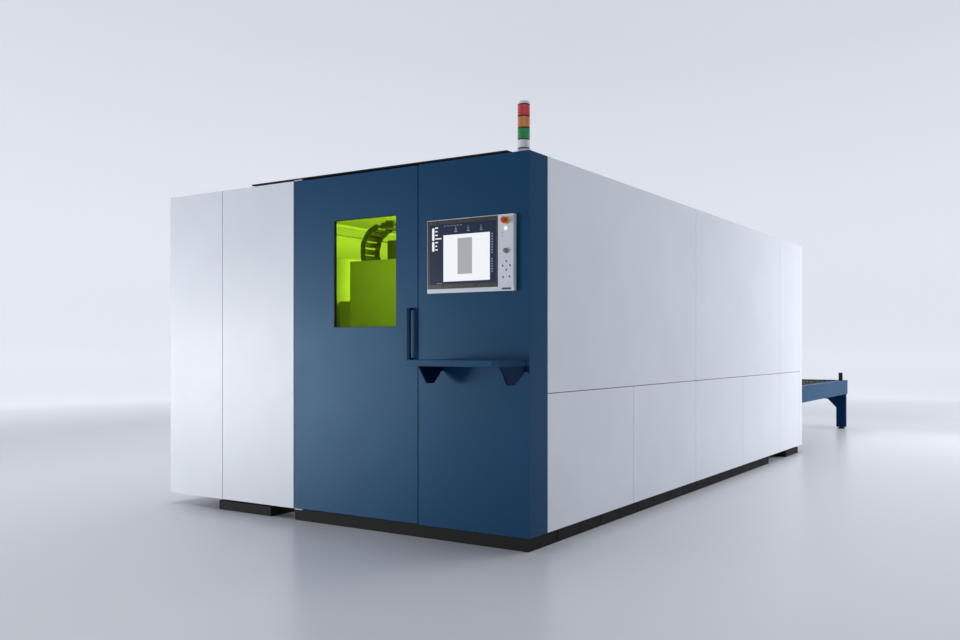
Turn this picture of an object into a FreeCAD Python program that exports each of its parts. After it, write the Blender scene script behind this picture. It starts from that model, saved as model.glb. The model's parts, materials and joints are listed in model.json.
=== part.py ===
"""Fiber laser cutting machine with a housed work area, an operator door and a pallet table at the back.

Frame: +Z up, X to the operator's right, Y from the operator's face to the pallet table, in millimetres.
The origin is the middle of the whole machine's box, on the floor.
"""
import FreeCAD, Part
import os
import Sketcher

doc = FreeCAD.newDocument("laser_cutting_machine")

# The driving dimensions: name, value in mm, meaning. Places along Y are counted from the operator's face.
DIMENSIONS = [
    ("body_width", 2990, "housing, left to right"),
    ("body_length", 5830, "housing, operator's face to rear wall"),
    ("body_height", 2200, "floor to the top of the housing"),
    ("table_length", 3284, "pallet table behind the rear wall"),
    ("panel_bottom", 75, "floor to the lower edge of the panels"),
    ("skin", 40, "depth of a folded housing panel"),
    ("sheet", 2, "sheet of panels and covers"),
    ("seam", 4, "gap between two panels"),
    ("tube_side", 60, "square tube of the housing frame"),
    ("tube_wall", 4, "wall of the square tube"),
    ("outer_panel_width", 548, "outer white front panel"),
    ("inner_panel_width", 673, "inner white front panel"),
    ("door_width", 1013, "operator door with its gaps"),
    ("door_depth", 36, "thickness of the door"),
    ("door_gap", 6, "gap between the door and its neighbours"),
    ("corner_return", 206, "operator panel folded round the corner"),
    ("side_seam_height", 863, "seam between lower and upper side panels"),
    ("upper_bay", 2385, "first two upper side panels, and two lower ones"),
    ("corner_strip", 100, "strip at the rear corner"),
    ("plinth_recess", 8, "plinth behind the panel face"),
    ("plinth_sheet", 15, "thickness of the plinth covers"),
    ("plinth_bay", 285, "length of one plinth cover"),
    ("plinth_gap", 5, "gap between plinth covers"),
    ("plinth_reach", 4608, "rear end of the side plinth"),
    ("pad_height", 64, "machine foot pads"),
    ("pad_reach", 127, "left foot pads beyond the bed beam's inner face"),
    ("pad_inset", 506, "housing's left side to the front left foot pad"),
    ("pad_length", 459, "rear foot pads, along Y"),
    ("pad_rear_margin", 135, "rear wall to the rear foot pads"),
    ("window_offset", 350, "door's left edge to the window"),
    ("window_width", 497, "door window"),
    ("window_drop", 282, "top of the housing to the window"),
    ("window_height", 673, "door window"),
    ("window_recess", 22, "pane behind the door's face"),
    ("window_margin", 15, "pane beyond its opening"),
    ("pane", 6, "thickness of the laser safety pane"),
    ("pin_inset", 11, "hinge pin from the door's edge and face"),
    ("pin_radius", 5, "hinge pin"),
    ("pin_play", 0.05, "radial clearance of the hinge pin"),
    ("hinge_plate", 6, "thickness of the hinge plates"),
    ("hinge_width", 70, "width of the hinge plates"),
    ("handle_inset", 62, "door's right edge to the far side of the handle"),
    ("handle_width", 24, "door handle bar"),
    ("handle_bottom", 1046, "lower end of the door handle"),
    ("handle_height", 309, "door handle"),
    ("handle_reach", 35, "door handle in front of the door"),
    ("handle_bar", 14, "thickness of the handle bar"),
    ("shelf_offset", 166, "door to the left end of the shelf"),
    ("shelf_inset", 20, "right end of the shelf from the housing's corner"),
    ("shelf_depth", 350, "shelf in front of the panel"),
    ("shelf_top", 1053, "shelf surface above the floor"),
    ("shelf_lip", 34, "folded edge of the shelf"),
    ("shelf_sheet", 3, "sheet of the shelf"),
    ("bracket_sheet", 12, "thickness of the shelf brackets"),
    ("bracket_foot", 918, "lower end of the shelf brackets"),
    ("bracket_left_reach", 230, "left bracket in front of the panel"),
    ("bracket_right_reach", 265, "right bracket in front of the panel"),
    ("bracket_nose", 78, "slope at the front of a bracket, along Y"),
    ("bracket_toe", 66, "flat lower end of a bracket, along Y"),
    ("console_offset", 82, "door to the control console"),
    ("console_width", 591, "control console"),
    ("console_drop", 343, "top of the housing to the console"),
    ("console_height", 423, "control console"),
    ("console_rim", 24, "console in front of the panel"),
    ("console_depth", 110, "console behind the panel"),
    ("console_margin", 28, "console rim beyond its cut-out"),
    ("screen_margin", 4, "console's edge to the screen and the key strip"),
    ("screen_width", 482, "screen"),
    ("screen_foot", 24, "console's lower edge to the screen"),
    ("keypad_gap", 2, "screen to the key strip"),
    ("facing", 3, "thickness of the screen and the key strip"),
    ("control_inset", 54, "key strip's left edge to the controls"),
    ("estop_drop", 35, "console's top to the emergency stop"),
    ("estop_radius", 18, "mushroom of the emergency stop"),
    ("estop_depth", 20, "mushroom of the emergency stop"),
    ("collar_radius", 23, "yellow collar of the emergency stop"),
    ("collar_depth", 14, "yellow collar of the emergency stop"),
    ("estop_travel", 4, "push of the emergency stop"),
    ("start_drop", 78, "console's top to the start button"),
    ("start_radius", 11, "start button"),
    ("start_travel", 3, "push of the start button"),
    ("knob_drop", 202, "console's top to the override knob"),
    ("knob_radius", 14, "feed override knob"),
    ("stem_radius", 6, "stems of the button and the knob"),
    ("stem_play", 0.1, "radial clearance of the stems"),
    ("tower_inset", 95, "signal tower from the housing's right side"),
    ("tower_y", 100, "signal tower behind the operator's face"),
    ("tower_radius", 35, "signal tower"),
    ("tower_base", 81, "base of the signal tower"),
    ("tower_lens", 66, "one lens of the signal tower"),
    ("tower_cap", 22, "cap of the signal tower"),
    ("roof_cover_overlap", 386, "roof cover left of the door"),
    ("roof_cover_inset", 145, "roof cover from the housing's right side"),
    ("roof_cover_thick", 8, "roof cover"),
    ("roof_cover_lift", 7, "roof cover above the roof panels"),
    ("roof_cover_end", 230, "roof cover in front of the rear wall"),
    ("bed_clear", 10, "bed to the housing frame on the right"),
    ("bed_gauge", 1890, "between the inner faces of the bed beams"),
    ("bed_beam_width", 110, "bed side beam"),
    ("bed_top", 1000, "top of the bed side beams"),
    ("bed_wall", 10, "wall of the bed beams"),
    ("bed_start", 100, "front end of the bed beams"),
    ("bed_end", 130, "rear wall to the bed beams"),
    ("cross_beam_width", 150, "bed cross beam, along Y"),
    ("cross_beam_bottom", 100, "bed cross beam above the floor"),
    ("cross_beam_top", 250, "bed cross beam above the floor"),
    ("partition_gap", 30, "partition to the bed"),
    ("partition_depth", 25, "partition"),
    ("partition_top", 1810, "top of the partition"),
    ("rail_width", 30, "linear guide rail"),
    ("rail_height", 25, "linear guide rail"),
    ("rack_width", 20, "gear rack"),
    ("running_gap", 0.3, "gap between parts that move past each other"),
    ("truck_length", 480, "gantry end truck, along Y"),
    ("truck_height", 98, "gantry end truck"),
    ("truck_lead", 130, "end trucks in front of the gantry beam"),
    ("truck_skirt", 12, "end trucks below the top of the rails"),
    ("beam_front", 950, "front face of the gantry beam"),
    ("beam_depth", 200, "gantry beam, along Y"),
    ("beam_height", 345, "gantry beam"),
    ("beam_wall", 8, "wall of the gantry beam"),
    ("hood_reach", 150, "gantry hood in front of the beam"),
    ("hood_width", 1640, "gantry hood"),
    ("hood_rise", 36.7, "beam's underside to the hood's lower edge"),
    ("hood_apron", 110, "hood's front plate above its deck"),
    ("hood_sheet", 3, "sheet of the gantry hood"),
    ("carriage_park", 652, "table centre to the parked carriage"),
    ("carriage_width", 240, "cutting head carriage"),
    ("carriage_plate", 35, "thickness of the carriage plate"),
    ("carriage_height", 798, "cutting head carriage"),
    ("carriage_rise", 16.7, "beam's underside to the carriage's lower edge"),
    ("arm_width", 80, "arm from the carriage to the energy chain"),
    ("arm_thick", 12, "tongue of the arm over the energy chain"),
    ("arm_clear", 47.4, "arm under the roof frame"),
    ("slide_width", 160, "vertical slide"),
    ("slide_depth", 90, "vertical slide"),
    ("slide_drop", 130, "vertical slide below the carriage"),
    ("slide_height", 470, "vertical slide"),
    ("head_radius", 42, "cutting head"),
    ("head_height", 170, "cutting head"),
    ("nozzle_height", 60, "nozzle with its cone"),
    ("nozzle_tip", 8, "radius of the nozzle's tip"),
    ("chain_height", 45, "link of the energy chain"),
    ("chain_width", 180, "energy chain, along Y"),
    ("chain_bend", 155, "inner bend radius of the energy chain"),
    ("chain_inset", 170, "hood's left end to the middle of the chain's bend"),
    ("chain_lower", 775, "lower run of the energy chain"),
    ("chain_upper", 118, "upper run of the energy chain"),
    ("changer_step", 20, "table beam beyond the inner face of the bed beam"),
    ("changer_beam_width", 80, "side beam of the pallet table"),
    ("changer_rise", 130, "wheel ledge to the top of the table's beams"),
    ("changer_beam_height", 190, "side beam of the pallet table"),
    ("ledge_width", 40, "wheel ledge on the table beam"),
    ("ledge_sheet", 20, "thickness of the wheel ledge"),
    ("ledge_top", 535, "wheel ledge above the floor"),
    ("leg_width", 125, "leg of the pallet table"),
    ("leg_depth", 60, "leg of the pallet table, along Y"),
    ("leg_margin", 60, "leg in front of the table's far end"),
    ("portal_beam", 70, "cross beam of the legs"),
    ("gusset", 115, "corner gusset of the legs"),
    ("foot_radius", 50, "levelling foot"),
    ("foot_height", 22, "levelling foot"),
    ("stop_width", 45, "end stop post"),
    ("stop_height", 106, "end stop post above the beam"),
    ("stop_inset", 244, "table's far end to the end stop"),
    ("pallet_length", 3130, "pallet"),
    ("pallet_margin", 60, "pallet in front of the table's end beam"),
    ("ledge_clear", 5, "pallet's side to the inner edge of the ledge"),
    ("pallet_beam", 60, "tube of the pallet frame"),
    ("pallet_height", 80, "height of the pallet frame"),
    ("pallet_drop", 5, "pallet frame below the top of the ledge"),
    ("slat_height", 50, "slat above the pallet frame"),
    ("slat_sheet", 4, "slat"),
    ("slat_pitch", 100, "slat to slat"),
    ("wheel_radius", 35, "pallet wheel"),
    ("wheel_width", 22, "pallet wheel"),
    ("wheel_gap", 8, "pallet frame to the wheel"),
    ("axle_radius", 8, "pallet wheel axle"),
    ("axle_play", 0.08, "radial clearance of the pallet wheels"),
    ("wheel_inset", 250, "pallet wheel from the pallet's end"),
    ("gate_headroom", 140, "slats to the top of the opening in the rear wall"),
    ("gate_footroom", 2, "ledge to the bottom of the opening in the rear wall"),
    ("gate_opening_margin", 20, "opening beyond the pallet wheels"),
    ("gate_depth", 20, "rear gate"),
    ("gate_height", 300, "rear gate"),
    ("gate_clear", 42, "opening to the raised rear gate"),
    ("gate_overlap", 25, "gate beyond its opening"),
    ("inlet_radius", 25, "power inlet in the rear wall"),
    ("inlet_inset", 395, "housing's left side to the power inlet"),
    ("inlet_z", 400, "power inlet in the rear wall"),
    ("gate_play", 0.5, "clearance of the gate in its guides"),
    ("guide_wall", 5, "wall of the gate guide"),
    ("bin_height", 180, "scrap bin"),
    ("bin_length", 1500, "scrap bin, along Y"),
    ("bin_sheet", 4, "sheet of the scrap bins"),
    ("cabinet_clear", 50, "cabinets from the partition and the frame"),
    ("cabinet_start", 160, "operator's face to the control cabinet"),
    ("cabinet_gap", 100, "between two cabinets"),
    ("control_length", 640, "control cabinet, along Y"),
    ("control_height", 1850, "control cabinet"),
    ("laser_length", 1100, "laser source, along Y"),
    ("laser_height", 1150, "laser source"),
    ("cooler_length", 1000, "cooling unit, along Y"),
    ("cooler_height", 1400, "cooling unit"),
]

sheet = doc.addObject("Spreadsheet::Sheet", "sizes")
for row, (alias, value, meaning) in enumerate(DIMENSIONS, start=1):
    sheet.set(f"A{row}", meaning)
    sheet.set(f"B{row}", str(value))
    sheet.setAlias(f"B{row}", alias)
doc.recompute()


class Size:
    """A length in mm together with the sheet expression that gives it."""

    def __init__(self, number, text):
        self.number = number
        self.text = text

    def joined(self, other, sign, number):
        return Size(number, f"({self.text} {sign} {as_size(other).text})")

    def __add__(self, other):
        return self.joined(other, "+", self.number + as_size(other).number)

    def __sub__(self, other):
        return self.joined(other, "-", self.number - as_size(other).number)

    def __mul__(self, other):
        return self.joined(other, "*", self.number * as_size(other).number)

    def __truediv__(self, other):
        return self.joined(other, "/", self.number / as_size(other).number)

    def __rsub__(self, other):
        return as_size(other) - self

    def __radd__(self, other):
        return as_size(other) + self

    def __neg__(self):
        return as_size(0) - self


def as_size(value):
    """A Size from a Size or a plain number."""
    if isinstance(value, Size):
        return value
    return Size(float(value), repr(value))


class Sizes:
    """The sheet's dimensions by name, such as size.body_width."""

    def __init__(self):
        for name, number, _ in DIMENSIONS:
            setattr(self, name, Size(float(number), f"sizes.{name}"))


size = Sizes()

# Places that several pieces share. FRONT is the operator's face, BACK the rear wall's outer face.
FRONT = (size.shelf_depth - size.body_length - size.table_length) / 2
BACK = FRONT + size.body_length
FAR_END = BACK + size.table_length
HALF = size.body_width / 2
DOOR_LEFT = size.outer_panel_width + size.inner_panel_width - HALF
DOOR_RIGHT = DOOR_LEFT + size.door_width
FRAME_FRONT = FRONT + size.skin
FRAME_BACK = BACK - size.skin
FRAME_HALF = HALF - size.skin
SILL_TOP = size.panel_bottom + size.tube_side
ROOF_BOTTOM = size.body_height - size.skin
BED_INNER = size.bed_gauge / 2
BED_OUTER = BED_INNER + size.bed_beam_width
BED_LENGTH = size.body_length - size.bed_start - size.bed_end
RAIL_TOP = size.bed_top + size.rail_height
BEAM_BOTTOM = RAIL_TOP + size.running_gap + size.truck_height
BEAM_TOP = BEAM_BOTTOM + size.beam_height
BEAM_START = FRONT + size.beam_front
BEAM_FACE = BEAM_START + size.beam_depth
TABLE_CENTER = FRAME_HALF - size.tube_side - size.bed_clear - BED_OUTER
PARTITION_X = TABLE_CENTER - BED_OUTER - size.partition_gap - size.partition_depth
ARM_TOP = ROOF_BOTTOM - size.tube_side - size.arm_clear
CHAIN_STACK = (size.chain_bend + size.chain_height) * 2
HOOD_DECK = ARM_TOP - size.arm_thick - size.running_gap * 2 - CHAIN_STACK
HOOD_LEFT = TABLE_CENTER - size.hood_width / 2
HOOD_FRONT = BEAM_START - size.hood_reach
CARRIAGE_X = TABLE_CENTER - size.carriage_park
CARRIAGE_BOTTOM = BEAM_BOTTOM + size.carriage_rise
CHANGER_OUTER = BED_INNER + size.changer_step
CHANGER_TOP = size.ledge_top + size.changer_rise
LEDGE_INNER = CHANGER_OUTER - size.changer_beam_width - size.ledge_width
PALLET_HALF = LEDGE_INNER - size.ledge_clear
PALLET_START = FAR_END - size.changer_beam_width - size.pallet_margin - size.pallet_length
PALLET_BOTTOM = size.ledge_top - size.pallet_drop
PALLET_TOP = PALLET_BOTTOM + size.pallet_height
OPENING_HALF = CHANGER_OUTER - size.changer_beam_width + size.gate_opening_margin
OPENING_BOTTOM = size.ledge_top - size.ledge_sheet - size.gate_footroom
OPENING_TOP = PALLET_TOP + size.slat_height + size.gate_headroom
CONSOLE_LEFT = DOOR_RIGHT + size.console_offset
CONSOLE_TOP = size.body_height - size.console_drop
CONSOLE_BOTTOM = CONSOLE_TOP - size.console_height
SCREEN_LEFT = CONSOLE_LEFT + size.screen_margin
SCREEN_BOTTOM = CONSOLE_BOTTOM + size.screen_foot
SCREEN_HEIGHT = CONSOLE_TOP - size.screen_margin - SCREEN_BOTTOM
KEYPAD_LEFT = SCREEN_LEFT + size.screen_width + size.keypad_gap
CONTROL_X = KEYPAD_LEFT + size.control_inset
KEY_FACE = FRONT - size.console_rim - size.facing
CONTROL_HEIGHTS = {
    "estop": CONSOLE_TOP - size.estop_drop,
    "start": CONSOLE_TOP - size.start_drop,
    "knob": CONSOLE_TOP - size.knob_drop,
}

nodes = []


# ---- Building blocks -------------------------------------------------------------------------------

def bind(item, prop, value):
    """Ties one property of an object to the sheet."""
    item.setExpression(prop, as_size(value).text)


def place(item, corner):
    """Ties an object's position to the sheet."""
    for axis, value in zip("xyz", corner):
        bind(item, f"Placement.Base.{axis}", value)


def box(name, corner, sides):
    """A block from its lowest corner and its three sides."""
    item = doc.addObject("Part::Box", name)
    for prop, value in zip(("Length", "Width", "Height"), sides):
        bind(item, prop, value)
    place(item, corner)
    return item


# Rotations that turn a part's own +Z to another direction.
TURNS = {
    "+x": FreeCAD.Rotation(FreeCAD.Vector(0, 1, 0), 90),
    "-x": FreeCAD.Rotation(FreeCAD.Vector(0, 1, 0), -90),
    "+y": FreeCAD.Rotation(FreeCAD.Vector(1, 0, 0), -90),
    "-y": FreeCAD.Rotation(FreeCAD.Vector(1, 0, 0), 90),
    "+z": FreeCAD.Rotation(),
}


def cylinder(name, start, radius, length, direction="+z"):
    """A round bar from the centre of its first face."""
    item = doc.addObject("Part::Cylinder", name)
    bind(item, "Radius", radius)
    bind(item, "Height", length)
    item.Placement.Rotation = TURNS[direction]
    place(item, start)
    return item


def cut(name, base, *tools):
    """base without the tools."""
    tool = tools[0] if len(tools) == 1 else fuse(f"{name}_tools", *tools)
    item = doc.addObject("Part::Cut", name)
    item.Base = base
    item.Tool = tool
    return item


def fuse(name, *parts):
    """One solid from several that meet."""
    item = doc.addObject("Part::MultiFuse", name)
    item.Shapes = list(parts)
    item.Refine = True
    return item


def group(name, parts):
    """Separate solids that share one node."""
    item = doc.addObject("Part::Compound", name)
    item.Links = list(parts)
    return item


def node(item, label):
    """Names an object as a sub-part, which is written to its own file."""
    item.Label = label
    nodes.append(item)
    return item


def origin_plane(body, role):
    """One of a body's own origin planes."""
    return next(f for f in body.Origin.OriginFeatures if f.Role == role)


def outline(body, role, points):
    """A closed sketch through points whose coordinates are tied to the sheet."""
    sketch = body.newObject("Sketcher::SketchObject", f"{body.Name}_outline")
    sketch.AttachmentSupport = [(origin_plane(body, role), "")]
    sketch.MapMode = "FlatFace"
    corners = [(as_size(u), as_size(v)) for u, v in points]
    vectors = [FreeCAD.Vector(u.number, v.number, 0) for u, v in corners]
    for index, start in enumerate(vectors):
        end = vectors[(index + 1) % len(vectors)]
        sketch.addGeometry(Part.LineSegment(start, end), False)
    for index in range(len(vectors)):
        sketch.addConstraint(Sketcher.Constraint("Coincident", index, 2, (index + 1) % len(vectors), 1))
    for index, corner in enumerate(corners):
        tie_point(sketch, index, "DistanceX", corner[0], -2)
        tie_point(sketch, index, "DistanceY", corner[1], -1)
    return sketch


def tie_point(sketch, line, kind, value, axis_on_zero):
    """Ties one coordinate of a line's first point, or puts the point on the axis where it is zero."""
    if value.text == "0":
        sketch.addConstraint(Sketcher.Constraint("PointOnObject", line, 1, axis_on_zero))
        return
    index = sketch.addConstraint(Sketcher.Constraint(kind, -1, 1, line, 1, value.number))
    sketch.setExpression(f"Constraints[{index}]", value.text)


def extruded(name, role, points, length, corner):
    """A bar of one section. XY_Plane runs along +Z, XZ_Plane along +Y, YZ_Plane along +X."""
    body = doc.addObject("PartDesign::Body", name)
    sketch = outline(body, role, points)
    pad = body.newObject("PartDesign::Pad", f"{name}_pad")
    pad.Profile = sketch
    pad.Reversed = role == "XZ_Plane"
    bind(pad, "Length", length)
    sketch.Visibility = False
    body.Tip = pad
    place(body, corner)
    return body


def turned(name, points, centre, direction="+z"):
    """A turned part from (radius, height) points round its own axis."""
    body = doc.addObject("PartDesign::Body", name)
    sketch = outline(body, "XZ_Plane", points)
    spin = body.newObject("PartDesign::Revolution", f"{name}_spin")
    spin.Profile = sketch
    spin.ReferenceAxis = (sketch, ["V_Axis"])
    spin.Angle = 360
    body.Tip = spin
    body.Placement.Rotation = TURNS[direction]
    place(body, centre)
    return body


def tube(name, corner, sides, wall, along):
    """A rectangular tube, open at both ends, along one of the axes 0, 1 and 2."""
    outer = box(f"{name}_outer", corner, sides)
    inner_corner = [c if axis == along else c + wall for axis, c in enumerate(map(as_size, corner))]
    inner_sides = [s if axis == along else s - wall * 2 for axis, s in enumerate(map(as_size, sides))]
    return cut(name, outer, box(f"{name}_inner", inner_corner, inner_sides))


def tray(name, corner, sides, axis, open_high, wall):
    """A folded sheet panel: five walls, open on the high or the low side of one axis."""
    outer = box(f"{name}_outer", corner, sides)
    inner_corner = [c + wall for c in map(as_size, corner)]
    inner_sides = [s - wall * 2 for s in map(as_size, sides)]
    inner_sides[axis] = as_size(sides[axis]) - wall
    if not open_high:
        inner_corner[axis] = as_size(corner[axis])
    return cut(name, outer, box(f"{name}_inner", inner_corner, inner_sides))


def case(name, corner, sides, wall):
    """A closed sheet case with six walls."""
    inner_corner = [c + wall for c in map(as_size, corner)]
    inner_sides = [s - wall * 2 for s in map(as_size, sides)]
    return cut(name, box(f"{name}_outer", corner, sides), box(f"{name}_inner", inner_corner, inner_sides))


# ---- Bed and housing frame --------------------------------------------------------------------------

def bed_frame():
    """Two hollow side beams that carry the gantry, joined by low cross beams."""
    height = size.bed_top - size.pad_height
    solids = []
    for name, left in (("left", -BED_OUTER), ("right", BED_INNER)):
        corner = (TABLE_CENTER + left, FRONT + size.bed_start, size.pad_height)
        sides = (size.bed_beam_width, BED_LENGTH, height)
        solids.append(tube(f"bed_beam_{name}", corner, sides, size.bed_wall, 1))
    spacing = (BED_LENGTH - size.cross_beam_width) / 3
    for number in range(4):
        corner = (TABLE_CENTER - BED_INNER, FRONT + size.bed_start + spacing * number,
                  size.cross_beam_bottom)
        sides = (size.bed_gauge, size.cross_beam_width, size.cross_beam_top - size.cross_beam_bottom)
        solids.append(tube(f"bed_cross_beam_{number + 1}", corner, sides, size.bed_wall, 0))
    node(group("bed", solids), "bed_frame")


def foot_pads():
    """Steel pads under the bed: one behind the front plinth, the others open to view."""
    rear = BACK - size.pad_rear_margin - size.pad_length
    inset = size.plinth_recess + size.plinth_sheet
    right_inner = TABLE_CENTER + BED_INNER - size.tube_side
    edge = HALF - size.plinth_recess
    left_end = TABLE_CENTER - BED_INNER + size.pad_reach
    left_start = size.pad_inset - HALF
    pads = [
        box("pad_front_left", (left_start, FRONT + size.plinth_recess, 0),
            (left_end - left_start, size.pad_length, size.pad_height)),
        box("pad_front_right", (right_inner, FRONT + inset + size.seam, 0),
            (HALF - inset - size.seam - right_inner, size.pad_length, size.pad_height)),
        box("pad_rear_left", (-edge, rear, 0), (edge + left_end, size.pad_length, size.pad_height)),
        box("pad_rear_right", (right_inner, rear, 0), (edge - right_inner, size.pad_length, size.pad_height)),
    ]
    node(group("pads", pads), "foot_pads")


def plinth():
    """Dark covers in short lengths under the door and the sides. The left side starts one cover later."""
    face = HALF - size.plinth_recess
    start = FRONT + size.plinth_recess
    front_left = DOOR_LEFT + size.seam
    front = box("plinth_front", (front_left, start, 0),
                (face - front_left, size.plinth_sheet, size.panel_bottom))
    notch = box("hinge_notch", (DOOR_LEFT, FRONT, size.panel_bottom - size.hinge_plate - 1),
                (size.hinge_width + size.seam + 1, size.skin, size.hinge_plate + 2))
    covers = [cut("plinth_front_cut", front, notch)]
    count = int((size.plinth_reach - size.corner_return).number // size.plinth_bay.number)
    first_end = size.plinth_reach - size.plinth_bay * count
    right_face = face - size.plinth_sheet
    covers.append(box("plinth_right_0", (right_face, start + size.plinth_sheet, 0),
                      (size.plinth_sheet, first_end - size.plinth_recess - size.plinth_sheet,
                       size.panel_bottom)))
    for side, left, skipped in (("left", -face, 1), ("right", right_face, 0)):
        for number in range(skipped, count):
            begin = FRONT + first_end + size.plinth_bay * number + size.plinth_gap
            covers.append(box(f"plinth_{side}_{number + 1}", (left, begin, 0),
                              (size.plinth_sheet, size.plinth_bay - size.plinth_gap, size.panel_bottom)))
    node(group("plinth_covers", covers), "plinth")


def post_places():
    """Where the housing posts stand, as (name, x, y) of their lowest corners."""
    right = FRAME_HALF - size.tube_side
    ends = (("front", FRAME_FRONT), ("rear", FRAME_BACK - size.tube_side))
    places = []
    for side, left in (("left", -FRAME_HALF), ("right", right)):
        places += [(f"{side}_{name}", left, y) for name, y in ends]
        for number in (1, 2):
            y = FRONT + size.corner_return + size.upper_bay * number - size.tube_side / 2
            places.append((f"{side}_{number}", left, y))
    places.append(("door_left", DOOR_LEFT - size.tube_side, FRAME_FRONT))
    places.append(("door_right", DOOR_RIGHT, FRAME_FRONT))
    return places


def housing_frame():
    """Square tube frame that the panels are fastened to."""
    side = size.tube_side
    long_run = FRAME_BACK - FRAME_FRONT
    inner_width = FRAME_HALF * 2 - side * 2
    roof_z = ROOF_BOTTOM - side
    tubes = []
    for level, z in (("sill", size.panel_bottom), ("roof", roof_z)):
        for name, x in (("left", -FRAME_HALF), ("right", FRAME_HALF - side)):
            tubes.append(tube(f"{level}_{name}", (x, FRAME_FRONT, z), (side, long_run, side),
                              size.tube_wall, 1))
        for name, y in (("front", FRAME_FRONT), ("rear", FRAME_BACK - side)):
            tubes.append(tube(f"{level}_{name}", (side - FRAME_HALF, y, z), (inner_width, side, side),
                              size.tube_wall, 0))
    for number in (1, 2):
        y = FRONT + size.corner_return + size.upper_bay * number - side / 2
        tubes.append(tube(f"roof_cross_{number}", (side - FRAME_HALF, y, roof_z),
                          (inner_width, side, side), size.tube_wall, 0))
    for name, x, y in post_places():
        tubes.append(tube(f"post_{name}", (x, y, SILL_TOP), (side, side, roof_z - SILL_TOP),
                          size.tube_wall, 2))
    reach = TABLE_CENTER - BED_OUTER - (side - FRAME_HALF)
    spacing = (BED_LENGTH - side) / 5
    for number in range(6):
        corner = (side - FRAME_HALF, FRONT + size.bed_start + spacing * number, size.panel_bottom)
        tubes.append(tube(f"outrigger_{number + 1}", corner, (reach, side, side), size.tube_wall, 0))
    node(group("frame_tubes", tubes), "housing_frame")


# ---- Housing panels ---------------------------------------------------------------------------------

def front_panels():
    """The two white panels left of the door."""
    height = size.body_height - size.panel_bottom
    half_seam = size.seam / 2
    outer = tray("panel_outer", (-HALF, FRONT, size.panel_bottom),
                 (size.outer_panel_width - half_seam, size.skin, height), 1, True, size.sheet)
    node(outer, "panel_front_outer")
    left = size.outer_panel_width + half_seam - HALF
    inner = tray("panel_inner", (left, FRONT, size.panel_bottom),
                 (DOOR_LEFT - left, size.skin, height), 1, True, size.sheet)
    node(inner, "panel_front_inner")


def operator_panel():
    """Fixed panel right of the door, folded round the corner, with the cut-out for the console."""
    width = HALF - DOOR_RIGHT
    wall = size.sheet
    depth = size.corner_return - size.seam
    section = [(0, 0), (width, 0), (width, depth), (width - size.skin, depth),
               (width - size.skin, depth - wall), (width - wall, depth - wall), (width - wall, wall),
               (wall, wall), (wall, size.skin), (0, size.skin)]
    shell = extruded("operator_shell", "XY_Plane", section, size.body_height - size.panel_bottom,
                     (DOOR_RIGHT, FRONT, size.panel_bottom))
    margin = size.console_margin - 1
    hole = box("console_hole", (CONSOLE_LEFT + margin, FRONT - wall, CONSOLE_BOTTOM + margin),
               (size.console_width - margin * 2, size.skin, size.console_height - margin * 2))
    node(cut("operator_shell_cut", shell, hole), "operator_panel")


def side_panel(name, side, start, length, bottom, height):
    """One folded panel on the left or the right side. start is counted from the operator's face."""
    x = HALF - size.skin if side == "right" else -HALF
    return tray(name, (x, FRONT + start, bottom), (size.skin, length - size.seam, height),
                0, side == "left", size.sheet)


def side_panels():
    """Three upper panels, five lower ones and a strip at the rear corner, on each side."""
    upper_height = size.body_height - size.side_seam_height
    lower_height = size.side_seam_height - size.panel_bottom - size.seam
    strip_start = size.body_length - size.corner_strip
    for side in ("right", "left"):
        starts = [size.corner_return + size.upper_bay * number for number in range(3)]
        first = size.corner_return if side == "right" else size.skin + size.seam
        uppers = []
        for number, start in enumerate(starts):
            begin = first if number == 0 else start
            end = starts[number + 1] if number < 2 else strip_start
            uppers.append(side_panel(f"upper_{side}_{number + 1}", side, begin, end - begin,
                                     size.side_seam_height, upper_height))
        low_starts = [first] + [size.corner_return + size.upper_bay / 2 * number for number in range(1, 5)]
        low_ends = low_starts[1:] + [strip_start]
        lowers = [side_panel(f"lower_{side}_{number + 1}", side, begin, end - begin,
                             size.panel_bottom, lower_height)
                  for number, (begin, end) in enumerate(zip(low_starts, low_ends))]
        strip = side_panel(f"strip_{side}", side, strip_start, size.corner_strip + size.seam,
                           size.panel_bottom, size.body_height - size.panel_bottom)
        node(group(f"uppers_{side}", uppers + [strip]), f"panels_{side}_upper")
        node(group(f"lowers_{side}", lowers), f"panels_{side}_lower")


def rear_wall():
    """Rear panel with the opening for the pallet."""
    inner = HALF - size.skin - size.seam
    shell = tray("rear_shell", (-inner, FRAME_BACK, size.panel_bottom),
                 (inner * 2, size.skin, size.body_height - size.panel_bottom), 1, False, size.sheet)
    hole = box("rear_hole", (TABLE_CENTER - OPENING_HALF, FRAME_BACK - 1, OPENING_BOTTOM),
               (OPENING_HALF * 2, size.skin + 2, OPENING_TOP - OPENING_BOTTOM))
    inlet = cylinder("power_inlet", (size.inlet_inset - HALF, BACK - size.skin, size.inlet_z),
                     size.inlet_radius, size.skin + 1, "+y")
    node(cut("rear_shell_cut", shell, hole, inlet), "rear_wall")


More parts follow.
